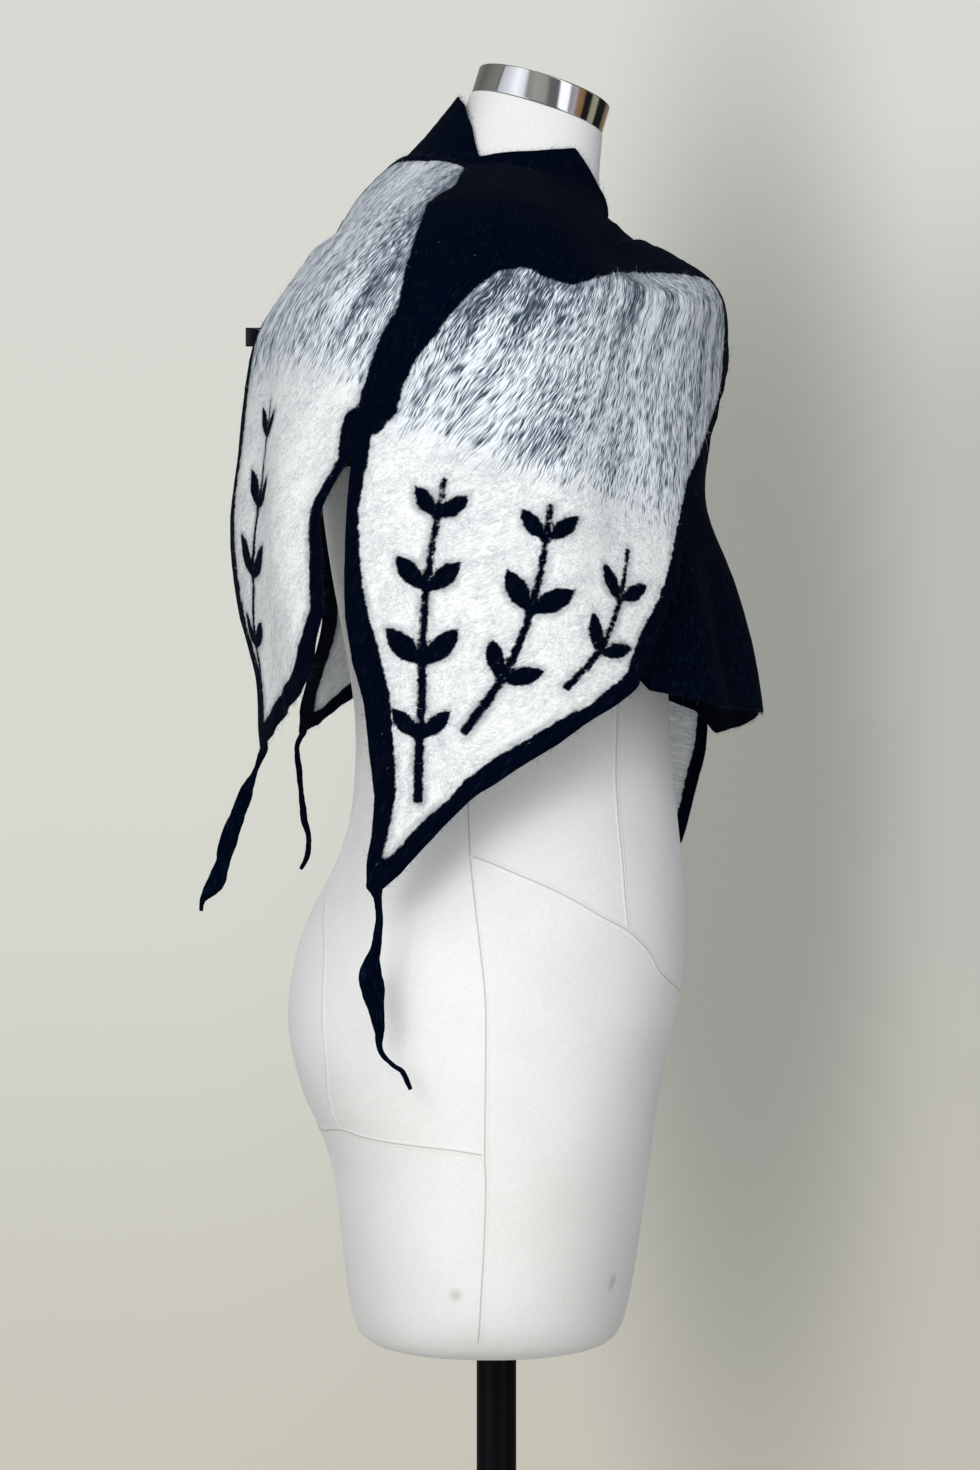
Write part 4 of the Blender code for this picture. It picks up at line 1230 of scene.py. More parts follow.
@dataclass
class Overlay:
    """One pale overlay, cut in one piece and slit at the arm.

    It lies on the under wrap at the shoulder, stands off it over the arm and ends in two points.
    """

    name: str
    sign: float
    # The slit's turn, and how many degrees the cloth behind it stands away
    slit: float
    opening: float
    rings: tuple[Ring, ...]
    hem: tuple[Station, ...]
    sprigs: tuple[Sprig, ...]
    # Turns of its front and its back edge
    start: float = 9.0
    end: float = 174.0
    thickness: float = 2.4
    # Gaps to the under wrap, where it lies and where it hangs
    seat: float = 0.7
    free: float = 1.4
    # The last place among the under wrap's rings on which it lies
    last_on_under: float = 3.4
    shoulder_z: float = 1300.0
    slit_top_z: float = 1182.0
    column_step: float = 0.72
    lying_rows: int = 32
    upper_rows: int = 42
    lower_rows: int = 92
    hem_wave: float = 1.6
    yoke_lean: float = 0.0
    back_band_width: float = 6.0
    # How far down the slit is fully open, and how many degrees beside it move
    slit_fall: float = 60.0
    slit_reach: float = 30.0
    split_share: float = 0.45
    edge_reach: float = 14.0
    ripple: float = 1.3
    edge_ripple: float = 2.2
    laid_in: float = 0.35

    def lying(self, turn: Array, place: Array, rise: float) -> Array:
        """Points over the under wrap, a rise above its inner face.

        Args:
            turn: degrees from the front on the overlay's own side.
            place: position among the under wrap's rings.
            rise: the rise in millimetres.

        Returns:
            Points in millimetres.
        """
        nudge = 0.05
        side = self.sign * turn
        here = under_points(side, place)
        down = under_points(side, place + nudge) - under_points(side, place - nudge)
        around = under_points(side + 10 * nudge, place) - under_points(side - 10 * nudge, place)
        return here + unit(np.cross(down, around)) * rise

    def shape(self, turn: Array, position: Array) -> Array:
        """The overlay's inner face: 0 to 1 lies on the under wrap, and the rings start at 2.

        Args:
            turn: degrees from the front on the overlay's own side.
            position: how far down the overlay, in rings.

        Returns:
            Points in millimetres.
        """
        rise = UnderWrap.thickness + self.seat
        edge = station_value(OVER_TOP_EDGE, turn)
        low = np.clip(position, 0, 1)
        laid = self.lying(turn, edge + (self.last_on_under - edge) * low, rise)
        hung = ring_points(self.rings, self.sign * turn, np.maximum(position - 2, 0))
        hung = with_folds(hung, self.sign * turn, OVER_FOLDS, self.sign)
        share = np.clip(position - 1, 0, 1)[..., None]
        return laid * (1 - share) + hung * share

    def slit_shift(self, turn: Array, z: Array, behind: Array) -> Array:
        """Degrees that a column near the slit moves: apart behind it, and wavering in front of it.

        Args:
            turn: each point's turn.
            z: its height.
            behind: whether it is behind the slit.

        Returns:
            Degrees to add to each turn.
        """
        drop = np.clip((self.slit_top_z - z) / self.slit_fall, 0, 1)
        near = np.clip(1 - np.abs(turn - self.slit) / self.slit_reach, 0, 1)
        wavering = np.interp(z, [mark.z for mark in SLIT_WAVER], [mark.degrees for mark in SLIT_WAVER])
        return near * np.where(behind, self.opening * drop**2 * (3 - 2 * drop), wavering)

    def surface(self, turn: Array, position: Array, behind: Array) -> Array:
        """The shape with its slit drawn open."""
        flat = self.shape(turn, position)
        return self.shape(turn + self.slit_shift(turn, flat[..., 2], behind), position)

    def place_of_height(self, turn: Array, behind: Array, height: Array) -> Array:
        """The position at which each column reaches a height.

        Args:
            turn: each column's turn.
            behind: whether it is behind the slit.
            height: the height.

        Returns:
            A position for each column.
        """
        trial = np.linspace(2.0, len(self.rings) + 1.0, 220)
        shape = (len(turn), len(trial))
        spread = (np.broadcast_to(turn[:, None], shape), np.broadcast_to(trial, shape), behind[:, None])
        z = self.surface(*spread)[..., 2]
        return np.array([np.interp(-h, -row, trial) for h, row in zip(height, z)])

    def laid(self, under_tree: BVHTree, form_tree: BVHTree) -> Laid:
        """The inner side.

        Args:
            under_tree: the outer side of the under wrap.
            form_tree: the body of the form.

        Returns:
            The skin and what is known of its points.
        """
        in_front = int((self.slit - self.start) / self.column_step)
        front = np.linspace(self.start, self.slit, in_front + 1)
        back = np.linspace(self.slit, self.end, int((self.end - self.slit) / self.column_step) + 1)
        turn = np.concatenate([front, back])
        behind = np.arange(len(turn)) > in_front
        opened = np.where(behind, self.slit_shift(turn, np.zeros_like(turn), behind), 0.0)
        hem = station_value(self.hem, turn + opened)
        wave = np.array([noise.noise(Vector((t / 6.0, self.sign * 3.5, 0.0))) for t in turn])
        hem = hem + self.hem_wave * wave
        split_z = np.maximum(self.slit_top_z, hem + (self.shoulder_z - hem) * self.split_share)
        split = self.place_of_height(turn, behind, split_z)
        last = np.maximum(self.place_of_height(turn, behind, hem), split + 0.02)
        lying = np.linspace(0, 2, self.lying_rows, endpoint=False)
        upper = np.linspace(0, 1, self.upper_rows, endpoint=False)
        lower = np.linspace(0, 1, self.lower_rows + 1)
        position = np.concatenate([
            np.repeat(lying[:, None], len(turn), axis=1),
            2 + (split - 2)[None] * upper[:, None],
            split[None] + (last - split)[None] * lower[:, None],
        ])
        shape = position.shape
        points = self.surface(np.broadcast_to(turn, shape), position, np.broadcast_to(behind, shape))
        numbers = grid_numbers(shape, closed=False)
        joined = self.lying_rows + self.upper_rows + 1
        numbers[:joined, in_front + 1] = numbers[:joined, in_front]
        halves = (numbers[:, : in_front + 1], numbers[:, in_front + 1 :])
        faces = np.concatenate([grid_faces(half, flip=self.sign > 0) for half in halves])
        # Only the points that a face uses stay
        kept, fresh = np.unique(faces, return_inverse=True)
        faces = fresh.reshape(faces.shape)
        down = position.reshape(-1)[kept]
        column = np.broadcast_to(turn, shape).reshape(-1)[kept]
        row = kept // len(turn)
        flat = self.rippled(Skin(points.reshape(-1, 3)[kept], faces), column, down)
        flat = stand_off(flat, under_tree, np.where(down > 1, self.free, self.seat))
        flat = stand_off(flat, form_tree, np.full(len(flat), 2.0))
        is_behind = np.broadcast_to(behind, shape).reshape(-1)[kept]
        return Laid(Skin(flat, faces), column, is_behind, row == 0, row == len(position) - 1)

    def rippled(self, skin: Skin, turn: Array, down: Array) -> Array:
        """The skin's points with soft waves where the cloth hangs free, and a livelier edge.

        Args:
            skin: the overlay's inner side.
            turn: each point's turn.
            down: each point's position, as shape reads it.

        Returns:
            The moved points.
        """
        rim = skin.points[np.unique(skin.border())]
        near = np.exp(-shortest(skin.points, rim, np.zeros(len(rim))) / self.edge_reach)
        places = zip(turn, down)
        edge_wave = np.array([noise.noise(Vector((t / 5.0, z / 60.0, 7.0 * self.sign))) for t, z in places])
        wave = self.ripple * lumps(skin.points, 45.0, 6) + self.edge_ripple * near * edge_wave
        return skin.points + skin.normals() * (smoothstep(down, 2.0, 3.4) * wave)[:, None]

    def piece(self, laid: Laid, borders: Array, black: Array, material: Material) -> Thing:
        """The sheet with its thickness and the values from which its colours are worked out.

        Args:
            laid: the inner side.
            borders: distance to the black borders.
            black: distance to any black wool.
            material: the sheet's finish.

        Returns:
            The object.
        """
        points = laid.skin.points
        rough = pebbled(points, 0.3, 0.16, 3) + self.laid_in * smoothstep(-black, -1.0, 1.5)
        cloth = thicken(laid.skin, self.thickness + rough)
        made = make_piece(f"{self.name}_overlay_felt", cloth.points, cloth.faces, material)
        # The sprigs are laid in on the outer side alone
        black = black[cloth.source]
        black[: len(points)] = borders
        add_values(made, "black_mm", black)
        add_values(made, "fade", self.fade(laid.skin, laid.turn)[cloth.source])
        add_values(made, "felt_mm", self.fibre_place(laid.skin, laid.turn)[cloth.source])
        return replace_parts(made, f"{self.name}_overlay")

    def fibre_place(self, skin: Skin, turn: Array) -> Array:
        """Millimetres across and along the fibres, which run down from the neck and a little to the back.

        Args:
            skin: the overlay's inner side.
            turn: each point's turn.

        Returns:
            Coordinates for each point.
        """
        z = skin.points[:, 2]
        reach = np.linalg.norm(skin.points[:, :2], axis=1)
        lean = 0.5 * smoothstep(turn, 32.0, 75.0) * (z - 1150.0)
        return np.stack([turn * MM_PER_DEGREE + lean, reach - z, np.zeros_like(turn)], axis=-1)

    def fade(self, skin: Skin, turn: Array) -> Array:
        """1 in the off-white wool low down and 0 in the grey, lower near the yoke in front of the slit for
        painted shade, and a little higher behind it for painted light.

        Args:
            skin: the overlay's inner side.
            turn: each point's turn.

        Returns:
            A number for each point.
        """
        # The height at which the off-white wool turns grey, by turn
        turns = [30.0, 50.0, 75.0, 95.0, self.slit - 2.0, self.slit + 4.0, self.slit + 20.0]
        change = np.interp(turn, turns, [1106.0, 1118.0, 1138.0, 1162.0, 1178.0, 1206.0, 1218.0])
        z = skin.points[:, 2]
        # Painted shade makes the grey darker near the yoke in front of the slit; painted light makes it a
        # little lighter there behind the slit
        near_yoke = smoothstep(z, 1222.0, 1262.0)
        in_front = smoothstep(turn, 48.0, 60.0) * (1 - smoothstep(turn, self.slit, self.slit + 6.0))
        lighter = 0.1 * near_yoke * smoothstep(turn, self.slit, self.slit + 6.0)
        return smoothstep(change - z, -34.0, 30.0) - 0.42 * near_yoke * in_front + lighter

    def border_field(self, laid: Laid) -> Array:
        """Distance to the black borders and the black yoke, below 0 inside them.

        Args:
            laid: the overlay's inner side.

        Returns:
            A distance for each point.
        """
        turn, z = laid.turn, laid.skin.points[:, 2]
        width = 10.5 + 1.5 * np.sin(turn / 4.1) + 0.8 * np.sin(turn / 1.7)
        width[laid.on_top] = 6.0
        beside = ~laid.on_top & ~laid.on_hem
        at_slit = beside & (np.abs(turn - self.slit) < 0.01)
        width[at_slit] = np.interp(z[at_slit], *SLIT_BORDER)
        thin = at_slit & laid.behind
        width[thin] = np.interp(z[thin], *BEHIND_SLIT_BORDER)
        back_hem = laid.on_hem & laid.behind
        width[back_hem] = np.interp(z[back_hem], *BACK_HEM_BORDER)
        first = beside & (turn < self.start + 0.01)
        width[first] = np.interp(z[first], *FRONT_BORDER)
        width[beside & (turn > self.end - 0.01)] = 16.0
        rim = np.unique(laid.skin.border())
        field = shortest(laid.skin.points, laid.skin.points[rim], width[rim])
        corners = np.array(YOKE, float)
        corners[:, 0] += self.yoke_lean * np.clip((1290.0 - corners[:, 1]) / 110.0, 0, 1)
        field = np.minimum(field, inside_distance(laid.skin.points[:, 1:], corners))
        return np.minimum(field, self.back_band(laid))

    def back_band(self, laid: Laid) -> Array:
        """Distance to the band where the cloth turns in at the back, below 0 inside it.

        Args:
            laid: the overlay's inner side.

        Returns:
            A distance for each point.
        """
        y, z = laid.skin.points[:, 1], laid.skin.points[:, 2]
        step = 6.0
        level = np.floor(z / step).astype(int)
        furthest = np.full(level.max() + 1, -FAR)
        np.maximum.at(furthest, level[laid.behind], y[laid.behind])
        known = np.flatnonzero(furthest > -FAR)
        reach = np.interp(z, (known + 0.5) * step, furthest[known])
        band = 2.0 * (reach - self.back_band_width - y)
        return np.where(laid.behind & (laid.turn > self.slit + 12.0) & (z < self.shoulder_z), band, FAR)

    def sprig_field(self, skin: Skin, turn: Array) -> Array:
        """Distance to the leaf sprigs, below 0 inside them.

        Args:
            skin: the overlay's inner side.
            turn: each point's turn.

        Returns:
            A distance for each point.
        """
        step = 3.0
        field = np.full(len(turn), FAR)
        tree = skin.tree()
        spots = np.stack([turn * MM_PER_DEGREE, skin.points[:, 2]], axis=-1)
        for sprig in self.sprigs:
            marks = []
            for mark_turn, z in sprig.marks:
                spot = np.array([mark_turn * MM_PER_DEGREE, z])
                marks.append(skin.points[np.argmin(np.linalg.norm(spots - spot, axis=1))])
            stem = smooth_line(marks, 60 * (len(marks) - 1))
            even = np.arange(0, run_length(stem)[-1], step)
            line, normal = on_surface(stem, even, tree)
            along = unit(np.gradient(line, axis=0))
            side = np.cross(normal, along)
            half = sprig.half_width * (1 - sprig.stem_taper * even / even[-1])
            field = soft_union(field, shortest(skin.points, line, half))
            first = sprig.first_leaf * sprig.leaf_gap
            for distance in np.arange(first, even[-1] + 1, sprig.leaf_gap):
                k = min(int(distance / step), len(line) - 1)
                size = np.interp(distance / even[-1], [0.0, 0.45, 1.0], [0.6, 1.0, 0.65])
                for hand in (-1.0, 1.0):
                    angle = math.radians(sprig.spread_degrees)
                    axis = along[k] * math.cos(angle) + side[k] * hand * math.sin(angle)
                    length = sprig.leaf_length / 2 * size
                    offset = skin.points - (line[k] + axis * (length + sprig.leaf_root))
                    a = offset @ axis
                    b = np.abs(offset @ np.cross(normal[k], axis))
                    wide = sprig.leaf_half_width * size * np.clip(1 - (a / length) ** 2, 0, 1)
                    leaf = np.where(np.abs(a) < length, b - wide, np.hypot(np.abs(a) - length, b))
                    leaf = np.where(np.abs(offset @ normal[k]) < sprig.depth, leaf, FAR)
                    field = soft_union(field, leaf)
        return field


RIGHT_RINGS = tuple(Ring(*row) for row in (
    (-128, 1304, 178, 2, 1326, 123, 1317), (-145, 1289, 204, 6, 1302, 140, 1288),
    (-152, 1262, 221, 9, 1266, 161, 1250), (-150, 1214, 230, 10, 1210, 169, 1195),
    (-147, 1150, 234, 10, 1140, 176, 1135), (-160, 1090, 234, 10, 1070, 171, 1075),
    (-176, 1020, 231, 10, 1000, 161, 1030), (-180, 940, 226, 10, 930, 158, 970),
    (-180, 860, 218, 8, 860, 156, 900),
))
LEFT_RINGS = tuple(Ring(*row) for row in (
    (-128, 1304, 178, 0, 1326, 124, 1315), (-145, 1289, 204, 0, 1302, 141, 1286),
    (-152, 1262, 221, 0, 1266, 148, 1244), (-151, 1214, 230, -4, 1210, 142, 1190),
    (-152, 1150, 232, -6, 1140, 123, 1125), (-168, 1090, 230, -8, 1070, 124, 1065),
    (-188, 1015, 225, -10, 1000, 146, 1000), (-194, 940, 219, -12, 930, 152, 950),
    (-188, 860, 212, -14, 860, 138, 890),
))
RIGHT_HEM = tuple(Station(*row) for row in (
    (9, 1236), (20, 1196), (36, 1140), (50, 1076), (62, 1022), (74, 998), (86, 970), (98, 936), (106, 909),
    (110.5, 898), (112.5, 893), (114, 900), (124, 1068), (129, 1034), (135, 1018), (144, 1004), (152, 992),
    (160, 983), (164, 1004), (168, 1044), (171, 1090), (174, 1140),
))
LEFT_HEM = tuple(Station(*row) for row in (
    (9, 1236), (18, 1190), (31.5, 1090), (42.5, 980), (50.5, 916), (59, 926), (70, 975), (80, 1030),
    (88, 1065), (96, 1085), (110, 1070), (124, 1046), (136, 1022), (150, 1000), (158, 994), (162, 1010),
    (166, 1050), (170, 1100), (174, 1150),
))
RIGHT_SPRIGS = (
    Sprig(((103, 952), (101, 1010), (98, 1080), (95, 1148)), leaf_length=31.0),
    Sprig(((92, 996), (86, 1036), (81, 1084), (78, 1130)), leaf_length=31.0),
    Sprig(((76, 1022), (69, 1046), (64, 1074), (60, 1106)), 2.6, 36.0, 28.0, 5.6),
    Sprig(((157, 1014), (153, 1075), (149, 1140), (146, 1205))),
)
LEFT_SPRIGS = (
    Sprig(((51, 950), (54, 1020), (59, 1095), (63, 1165))),
    Sprig(((51, 968), (45, 1025), (39, 1085), (36, 1140))),
    Sprig(((154, 1024), (151, 1080), (148, 1145), (145, 1205))),
    Sprig(((149, 1048), (136, 1090), (125, 1135), (116, 1185))),
)


@dataclass
class Tail:
    """A twisted strand of felt that hangs from the lowest point of a panel."""

    node: str
    sign: float
    rows: tuple[TailRow, ...]
    thickness: float = 3.4
    turn_rows: float = 3.0
    steps: int = 7
    sides: int = 20
    overlap: float = 8.0
    least_width: float = 2.2
    # Narrower than this, the strand is thinner too
    full_width: float = 6.0

    def top(self) -> Array:
        """The middle of the solid tail's top face.

        Returns:
            A point in millimetres.
        """
        points = np.array([v.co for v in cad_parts[self.node].data.vertices]) / MM
        near = points[points[:, 2] > points[:, 2].max() - 0.2]
        return (near.min(axis=0) + near.max(axis=0)) / 2

    def piece(self, material: Material) -> Thing:
        """The strand, with ridges that wind round it and an uneven skin.

        Args:
            material: its finish.

        Returns:
            The object.
        """
        start = self.top()
        place = np.linspace(0, len(self.rows) - 1, (len(self.rows) - 1) * self.steps + 1)
        table = read_rows(self.rows, place)
        path = start + np.stack([-self.sign * table["along"], table["back"], -table["drop"]], axis=-1)
        ahead = np.gradient(path, axis=0)
        ahead[0] = (0.0, 0.0, -1.0)
        ahead = unit(ahead)
        away = unit(np.array([start[0], start[1], 0.0]))
        share = np.clip(place / self.turn_rows, 0, 1)[:, None]
        facing = away * (1 - share) + np.array([-self.sign, 0.0, 0.0]) * share
        across = unit(np.cross(facing, ahead))
        through = np.cross(ahead, across)
        half = np.maximum(table["width"], self.least_width) / 2
        thin = self.thickness / 2 * np.minimum(1.0, table["width"] / self.full_width)
        path = np.concatenate([[path[0] + (0.0, 0.0, self.overlap)], path])
        across = np.concatenate([across[:1], across])[:, None]
        through = np.concatenate([through[:1], through])[:, None]
        half = np.concatenate([[half[0] * 0.8], half])[:, None]
        thin = np.concatenate([[thin[0] * 0.9], thin])[:, None]
        angle = np.linspace(0, 2 * math.pi, self.sides, endpoint=False)
        run = run_length(path)[:, None]
        # Two ridges wind one way and five lower ones the other
        ridge = 1 + 0.13 * np.cos(2 * angle[None] + run / 5.5) + 0.07 * np.cos(5 * angle[None] - run / 4)
        wide = across * (half * np.cos(angle) * ridge)[..., None]
        deep = through * (thin * np.sin(angle) * ridge)[..., None]
        flat = (path[:, None] + wide + deep).reshape(-1, 3)
        away_out = unit(flat - np.repeat(path, self.sides, axis=0), 1e-6)
        flat = flat + away_out * (0.3 * lumps(flat, 3.0, 5))[:, None]
        numbers = grid_numbers((len(path), self.sides))
        faces = grid_faces(numbers, flip=True).tolist()
        faces += [numbers[0, :-1].tolist(), numbers[-1, -2::-1].tolist()]
        made = make_piece(f"{self.node}_felt", flat, faces, material)
        around = np.tile(angle * 3.0, len(path))
        spread = np.stack([around, np.repeat(run, self.sides), np.zeros(len(flat))], axis=-1)
        add_values(made, "felt_mm", spread)
        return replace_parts(made, self.node)


TAILS = tuple(Tail(node, sign, tuple(TailRow(*row) for row in rows)) for node, sign, rows in (
    ("right_front_tail", 1.0, (
        (0, -2, 0, 11), (0.5, -3.5, 8, 6), (0.5, -4.5, 22, 4.4), (1, -2.5, 38, 6.5), (1, 0.5, 50, 12),
        (1, 0, 61, 13.5), (1, -3, 77, 11), (0.5, -4.5, 89, 6), (0, -4.5, 98, 3.6), (0, -7, 105, 3.4),
        (0, -13, 111, 3.2), (0, -19, 115.5, 3.2), (0, -24, 126, 2.4),
    )),
    ("right_back_tail", 1.0, (
        (0, 0, 0, 8), (0, 5, 13, 4.2), (0.5, 11, 27, 8), (1, 16, 40, 10.5), (1, 20, 51, 10),
        (1, 24, 62.5, 10.5), (1, 26.5, 74, 10.5), (1, 30.5, 85, 10.5), (0.5, 35.5, 93, 8), (0, 40, 99, 4),
        (0, 41, 106, 2.4),
    )),
    ("left_back_tail", -1.0, (
        (0, 0, 0, 6), (0, 5, 10, 4), (0, 4, 24, 4), (0, 2, 44, 4.2), (0, 0, 62, 4.4), (0, -3, 74, 4.2),
        (0, -3, 82.5, 4), (0, -1.5, 90.5, 3.4), (0, 2.5, 98, 2.4),
    )),
    ("left_front_tail", -1.0, (
        (0, 0, 0, 8), (1, 7, 14, 4.6), (2, 16, 30, 5), (2, 24, 48, 9), (2, 28, 66, 12), (2, 31, 84, 10),
        (1, 32, 100, 5), (0, 34, 116, 3), (0, 40, 126, 2.4),
    )),
))


@dataclass
class TapeTab:
    """A small plain loop of tape at the back edge of the right overlay."""

    wall: float = 0.45
    root: float = 5.0
    shift: float = -1.5

    def piece(self, material: Material) -> Thing:
        """The loop, folded over at its end, inside the solid tab's box.

        Args:
            material: its finish.

        Returns:
            The object.
        """
        low, high = (np.array(corner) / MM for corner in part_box("label_tab"))
        middle = (low[0] + high[0]) / 2
        half = (high[0] - low[0]) / 2
        turn_y = high[1] - half
        outline = [(middle - half, low[1] - self.root)]
        for step in range(13):
            angle = math.pi * step / 12 - math.pi / 2
            outline.append((middle + half * math.sin(angle), turn_y + half * math.cos(angle)))
        outline.append((middle + half, low[1] - self.root))
        path = np.array(outline) + (0.0, self.shift)
        heights = np.linspace(low[2] + 0.3, high[2] - 0.3, 9)
        outer = np.stack([np.column_stack([path, np.full(len(path), z)]) for z in heights])
        skin = Skin(outer.reshape(-1, 3), grid_faces(grid_numbers(outer.shape[:2], closed=False)))
        cloth = thicken(skin, np.full(len(skin.points), -self.wall))
        made = make_piece("tape_tab", cloth.points, cloth.faces[:, ::-1], material)
        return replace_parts(made, "label_tab")


@dataclass
class LooseFibres:
    """Single fibres that stand a little off the felt and soften its edges. Each is a closed thin tube."""

    seed: int
    length: tuple[float, float] = (1.2, 4.2)
    width: float = 0.15
    joints: int = 4
    sides: int = 3
    stray: float = 0.35
    bending: float = 0.55
    rooted: float = 0.12
    taper: float = 0.6
    # How near the line between black and pale wool fibres grow, and on what share of the points there
    line_reach: float = 2.2
    line_share: float = 0.5

    def piece(
        self, name: str, root: Array, heading: Array, pale: Array, material: Material, slot: Slot
    ) -> Thing:
        """Fibres that start at the given points.

        Args:
            name: the piece's name.
            root: where each fibre starts.
            heading: the way that each leaves the felt, which is bent a little by chance.
            pale: 1 for a pale fibre and 0 for a black one.
            material: their finish.
            slot: not used.

        Returns:
            The object.
        """
        draw = np.random.default_rng(self.seed)
        count = len(root)
        heading = unit(heading + draw.normal(size=(count, 3)) * self.stray)
        bend = draw.normal(size=(count, 3)) * self.bending
        length = draw.uniform(*self.length, size=count)[:, None]
        side = unit(np.cross(heading, bend), 1e-6)
        other = np.cross(heading, side)
        rings = []
        for k in range(self.joints):
            share = k / (self.joints - 1)
            middle = root + (heading * (share - self.rooted) + bend * share**2) * length
            half = self.width / 2 * (1 - self.taper * share)
            for step in range(self.sides):
                angle = 2 * math.pi * step / self.sides
                rings.append(middle + (side * math.cos(angle) + other * math.sin(angle)) * half)
        points = np.stack(rings, axis=1)
        start = np.arange(count)[:, None] * (self.joints * self.sides)
        walls = []
        for k in range(self.joints - 1):
            for step in range(self.sides):
                a, b = k * self.sides + step, k * self.sides + (step + 1) % self.sides
                walls.append(start + np.array([[a, b, b + self.sides, a + self.sides]]))
        last = (self.joints - 1) * self.sides
        ends = [start + np.array([corners]) for corners in ([2, 1, 0], [last, last + 1, last + 2])]
        faces = np.concatenate(walls).tolist() + np.concatenate(ends).tolist()
        made = make_piece(name, points.reshape(-1, 3), faces, material)
        add_values(made, "pale", np.repeat(pale, self.joints * self.sides))
        return made

    def rim(self, skin: Skin, normal: Array, thickness: float) -> tuple[Array, Array, Array]:
        """The edge of a cloth.

        Args:
            skin: its inner side.
            normal: the skin's normals.
            thickness: its wall.

        Returns:
            The edge's point numbers, the way out of the cloth there, and the middle of the wall.
        """
        edges = skin.border()
        rim = edges[:, 0]
        way = unit(np.cross(skin.points[edges[:, 1]] - skin.points[rim], normal[rim]), 1e-9)
        return rim, way, skin.points[rim] + normal[rim] * thickness / 2 + way * thickness / 2

    def overlay_fuzz(self, laid: Laid, black: Array, thickness: float) -> tuple[Array, Array, Array]:
        """Where fibres grow on an overlay: along its edge, and over the line between black and pale wool.

        Args:
            laid: the overlay's inner side.
            black: distance to the black wool at its points.
            thickness: the overlay's wall.

        Returns:
            The roots, the headings, and 1 for pale fibres.
        """
        repeat = 3
        draw = np.random.default_rng(self.seed + 100)
        normal = laid.skin.normals()
        outer = laid.skin.points + normal * thickness
        slope = np.stack([draw.normal(size=len(outer)) for _ in range(3)], axis=-1)
        slope -= normal * np.sum(slope * normal, axis=1, keepdims=True)
        slope = unit(slope)
        near = np.abs(black) < self.line_reach
        line = np.flatnonzero(near & (draw.random(len(outer)) < self.line_share))
        rim, way, middle = self.rim(laid.skin, normal, thickness)
        edge_roots = [middle + draw.normal(size=middle.shape) * 0.5 for _ in range(repeat)]
        roots = np.concatenate([outer[line], *edge_roots])
        along = slope[line] + normal[line] * 0.25
        headings = np.concatenate([along] + [way + slope[rim] * 1.2] * repeat)
        pale = (black[line] > 0.6) & (draw.random(len(line)) < 0.55)
        return roots, headings, np.concatenate([pale.astype(float), np.zeros(repeat * len(rim))])

    def rim_fuzz(self, skin: Skin, thickness: float) -> tuple[Array, Array, Array]:
        """Where fibres grow along the edge of the black under wrap.

        Args:
            skin: the under wrap's inner side.
            thickness: its wall.

        Returns:
            The roots, the headings, and 0 for each fibre.
        """
        draw = np.random.default_rng(self.seed + 200)
        _, way, middle = self.rim(skin, skin.normals(), thickness)
        roots = np.concatenate([middle + draw.normal(size=middle.shape) * 0.4 for _ in range(4)])
        headings = np.concatenate([way + draw.normal(size=way.shape) * 0.5 for _ in range(4)])
        return roots, headings, np.zeros(len(roots))


# What a mirror sees round it, by degrees from the camera's side towards the front
ROOM = (
    (-180, "#7b7a78"), (-128, "#5a5956"), (-104, "#6e6d69"), (-82, "#76746f"), (-79, "#3f3e3c"),
    (-75, "#b9b8bd"), (-58, "#cfd0d8"), (-42, "#f4f6fb"), (-28, "#d4d6dc"), (-22, "#7e7e7c"),
    (-10, "#93928c"), (8, "#8b8a85"), (14, "#5f5d60"), (29, "#54555a"), (32, "#ffffff"), (47, "#f8faff"),
    (50, "#7f7d84"), (60, "#a09aa0"), (64, "#866950"), (76, "#78583e"), (78, "#141214"), (92, "#17161a"),
    (95, "#8c8470"), (108, "#8a8a74"), (111, "#101516"), (134, "#14191b"), (139, "#6b5746"),
    (158, "#7d6c56"), (166, "#b9bab6"), (180, "#7b7a78"),
)


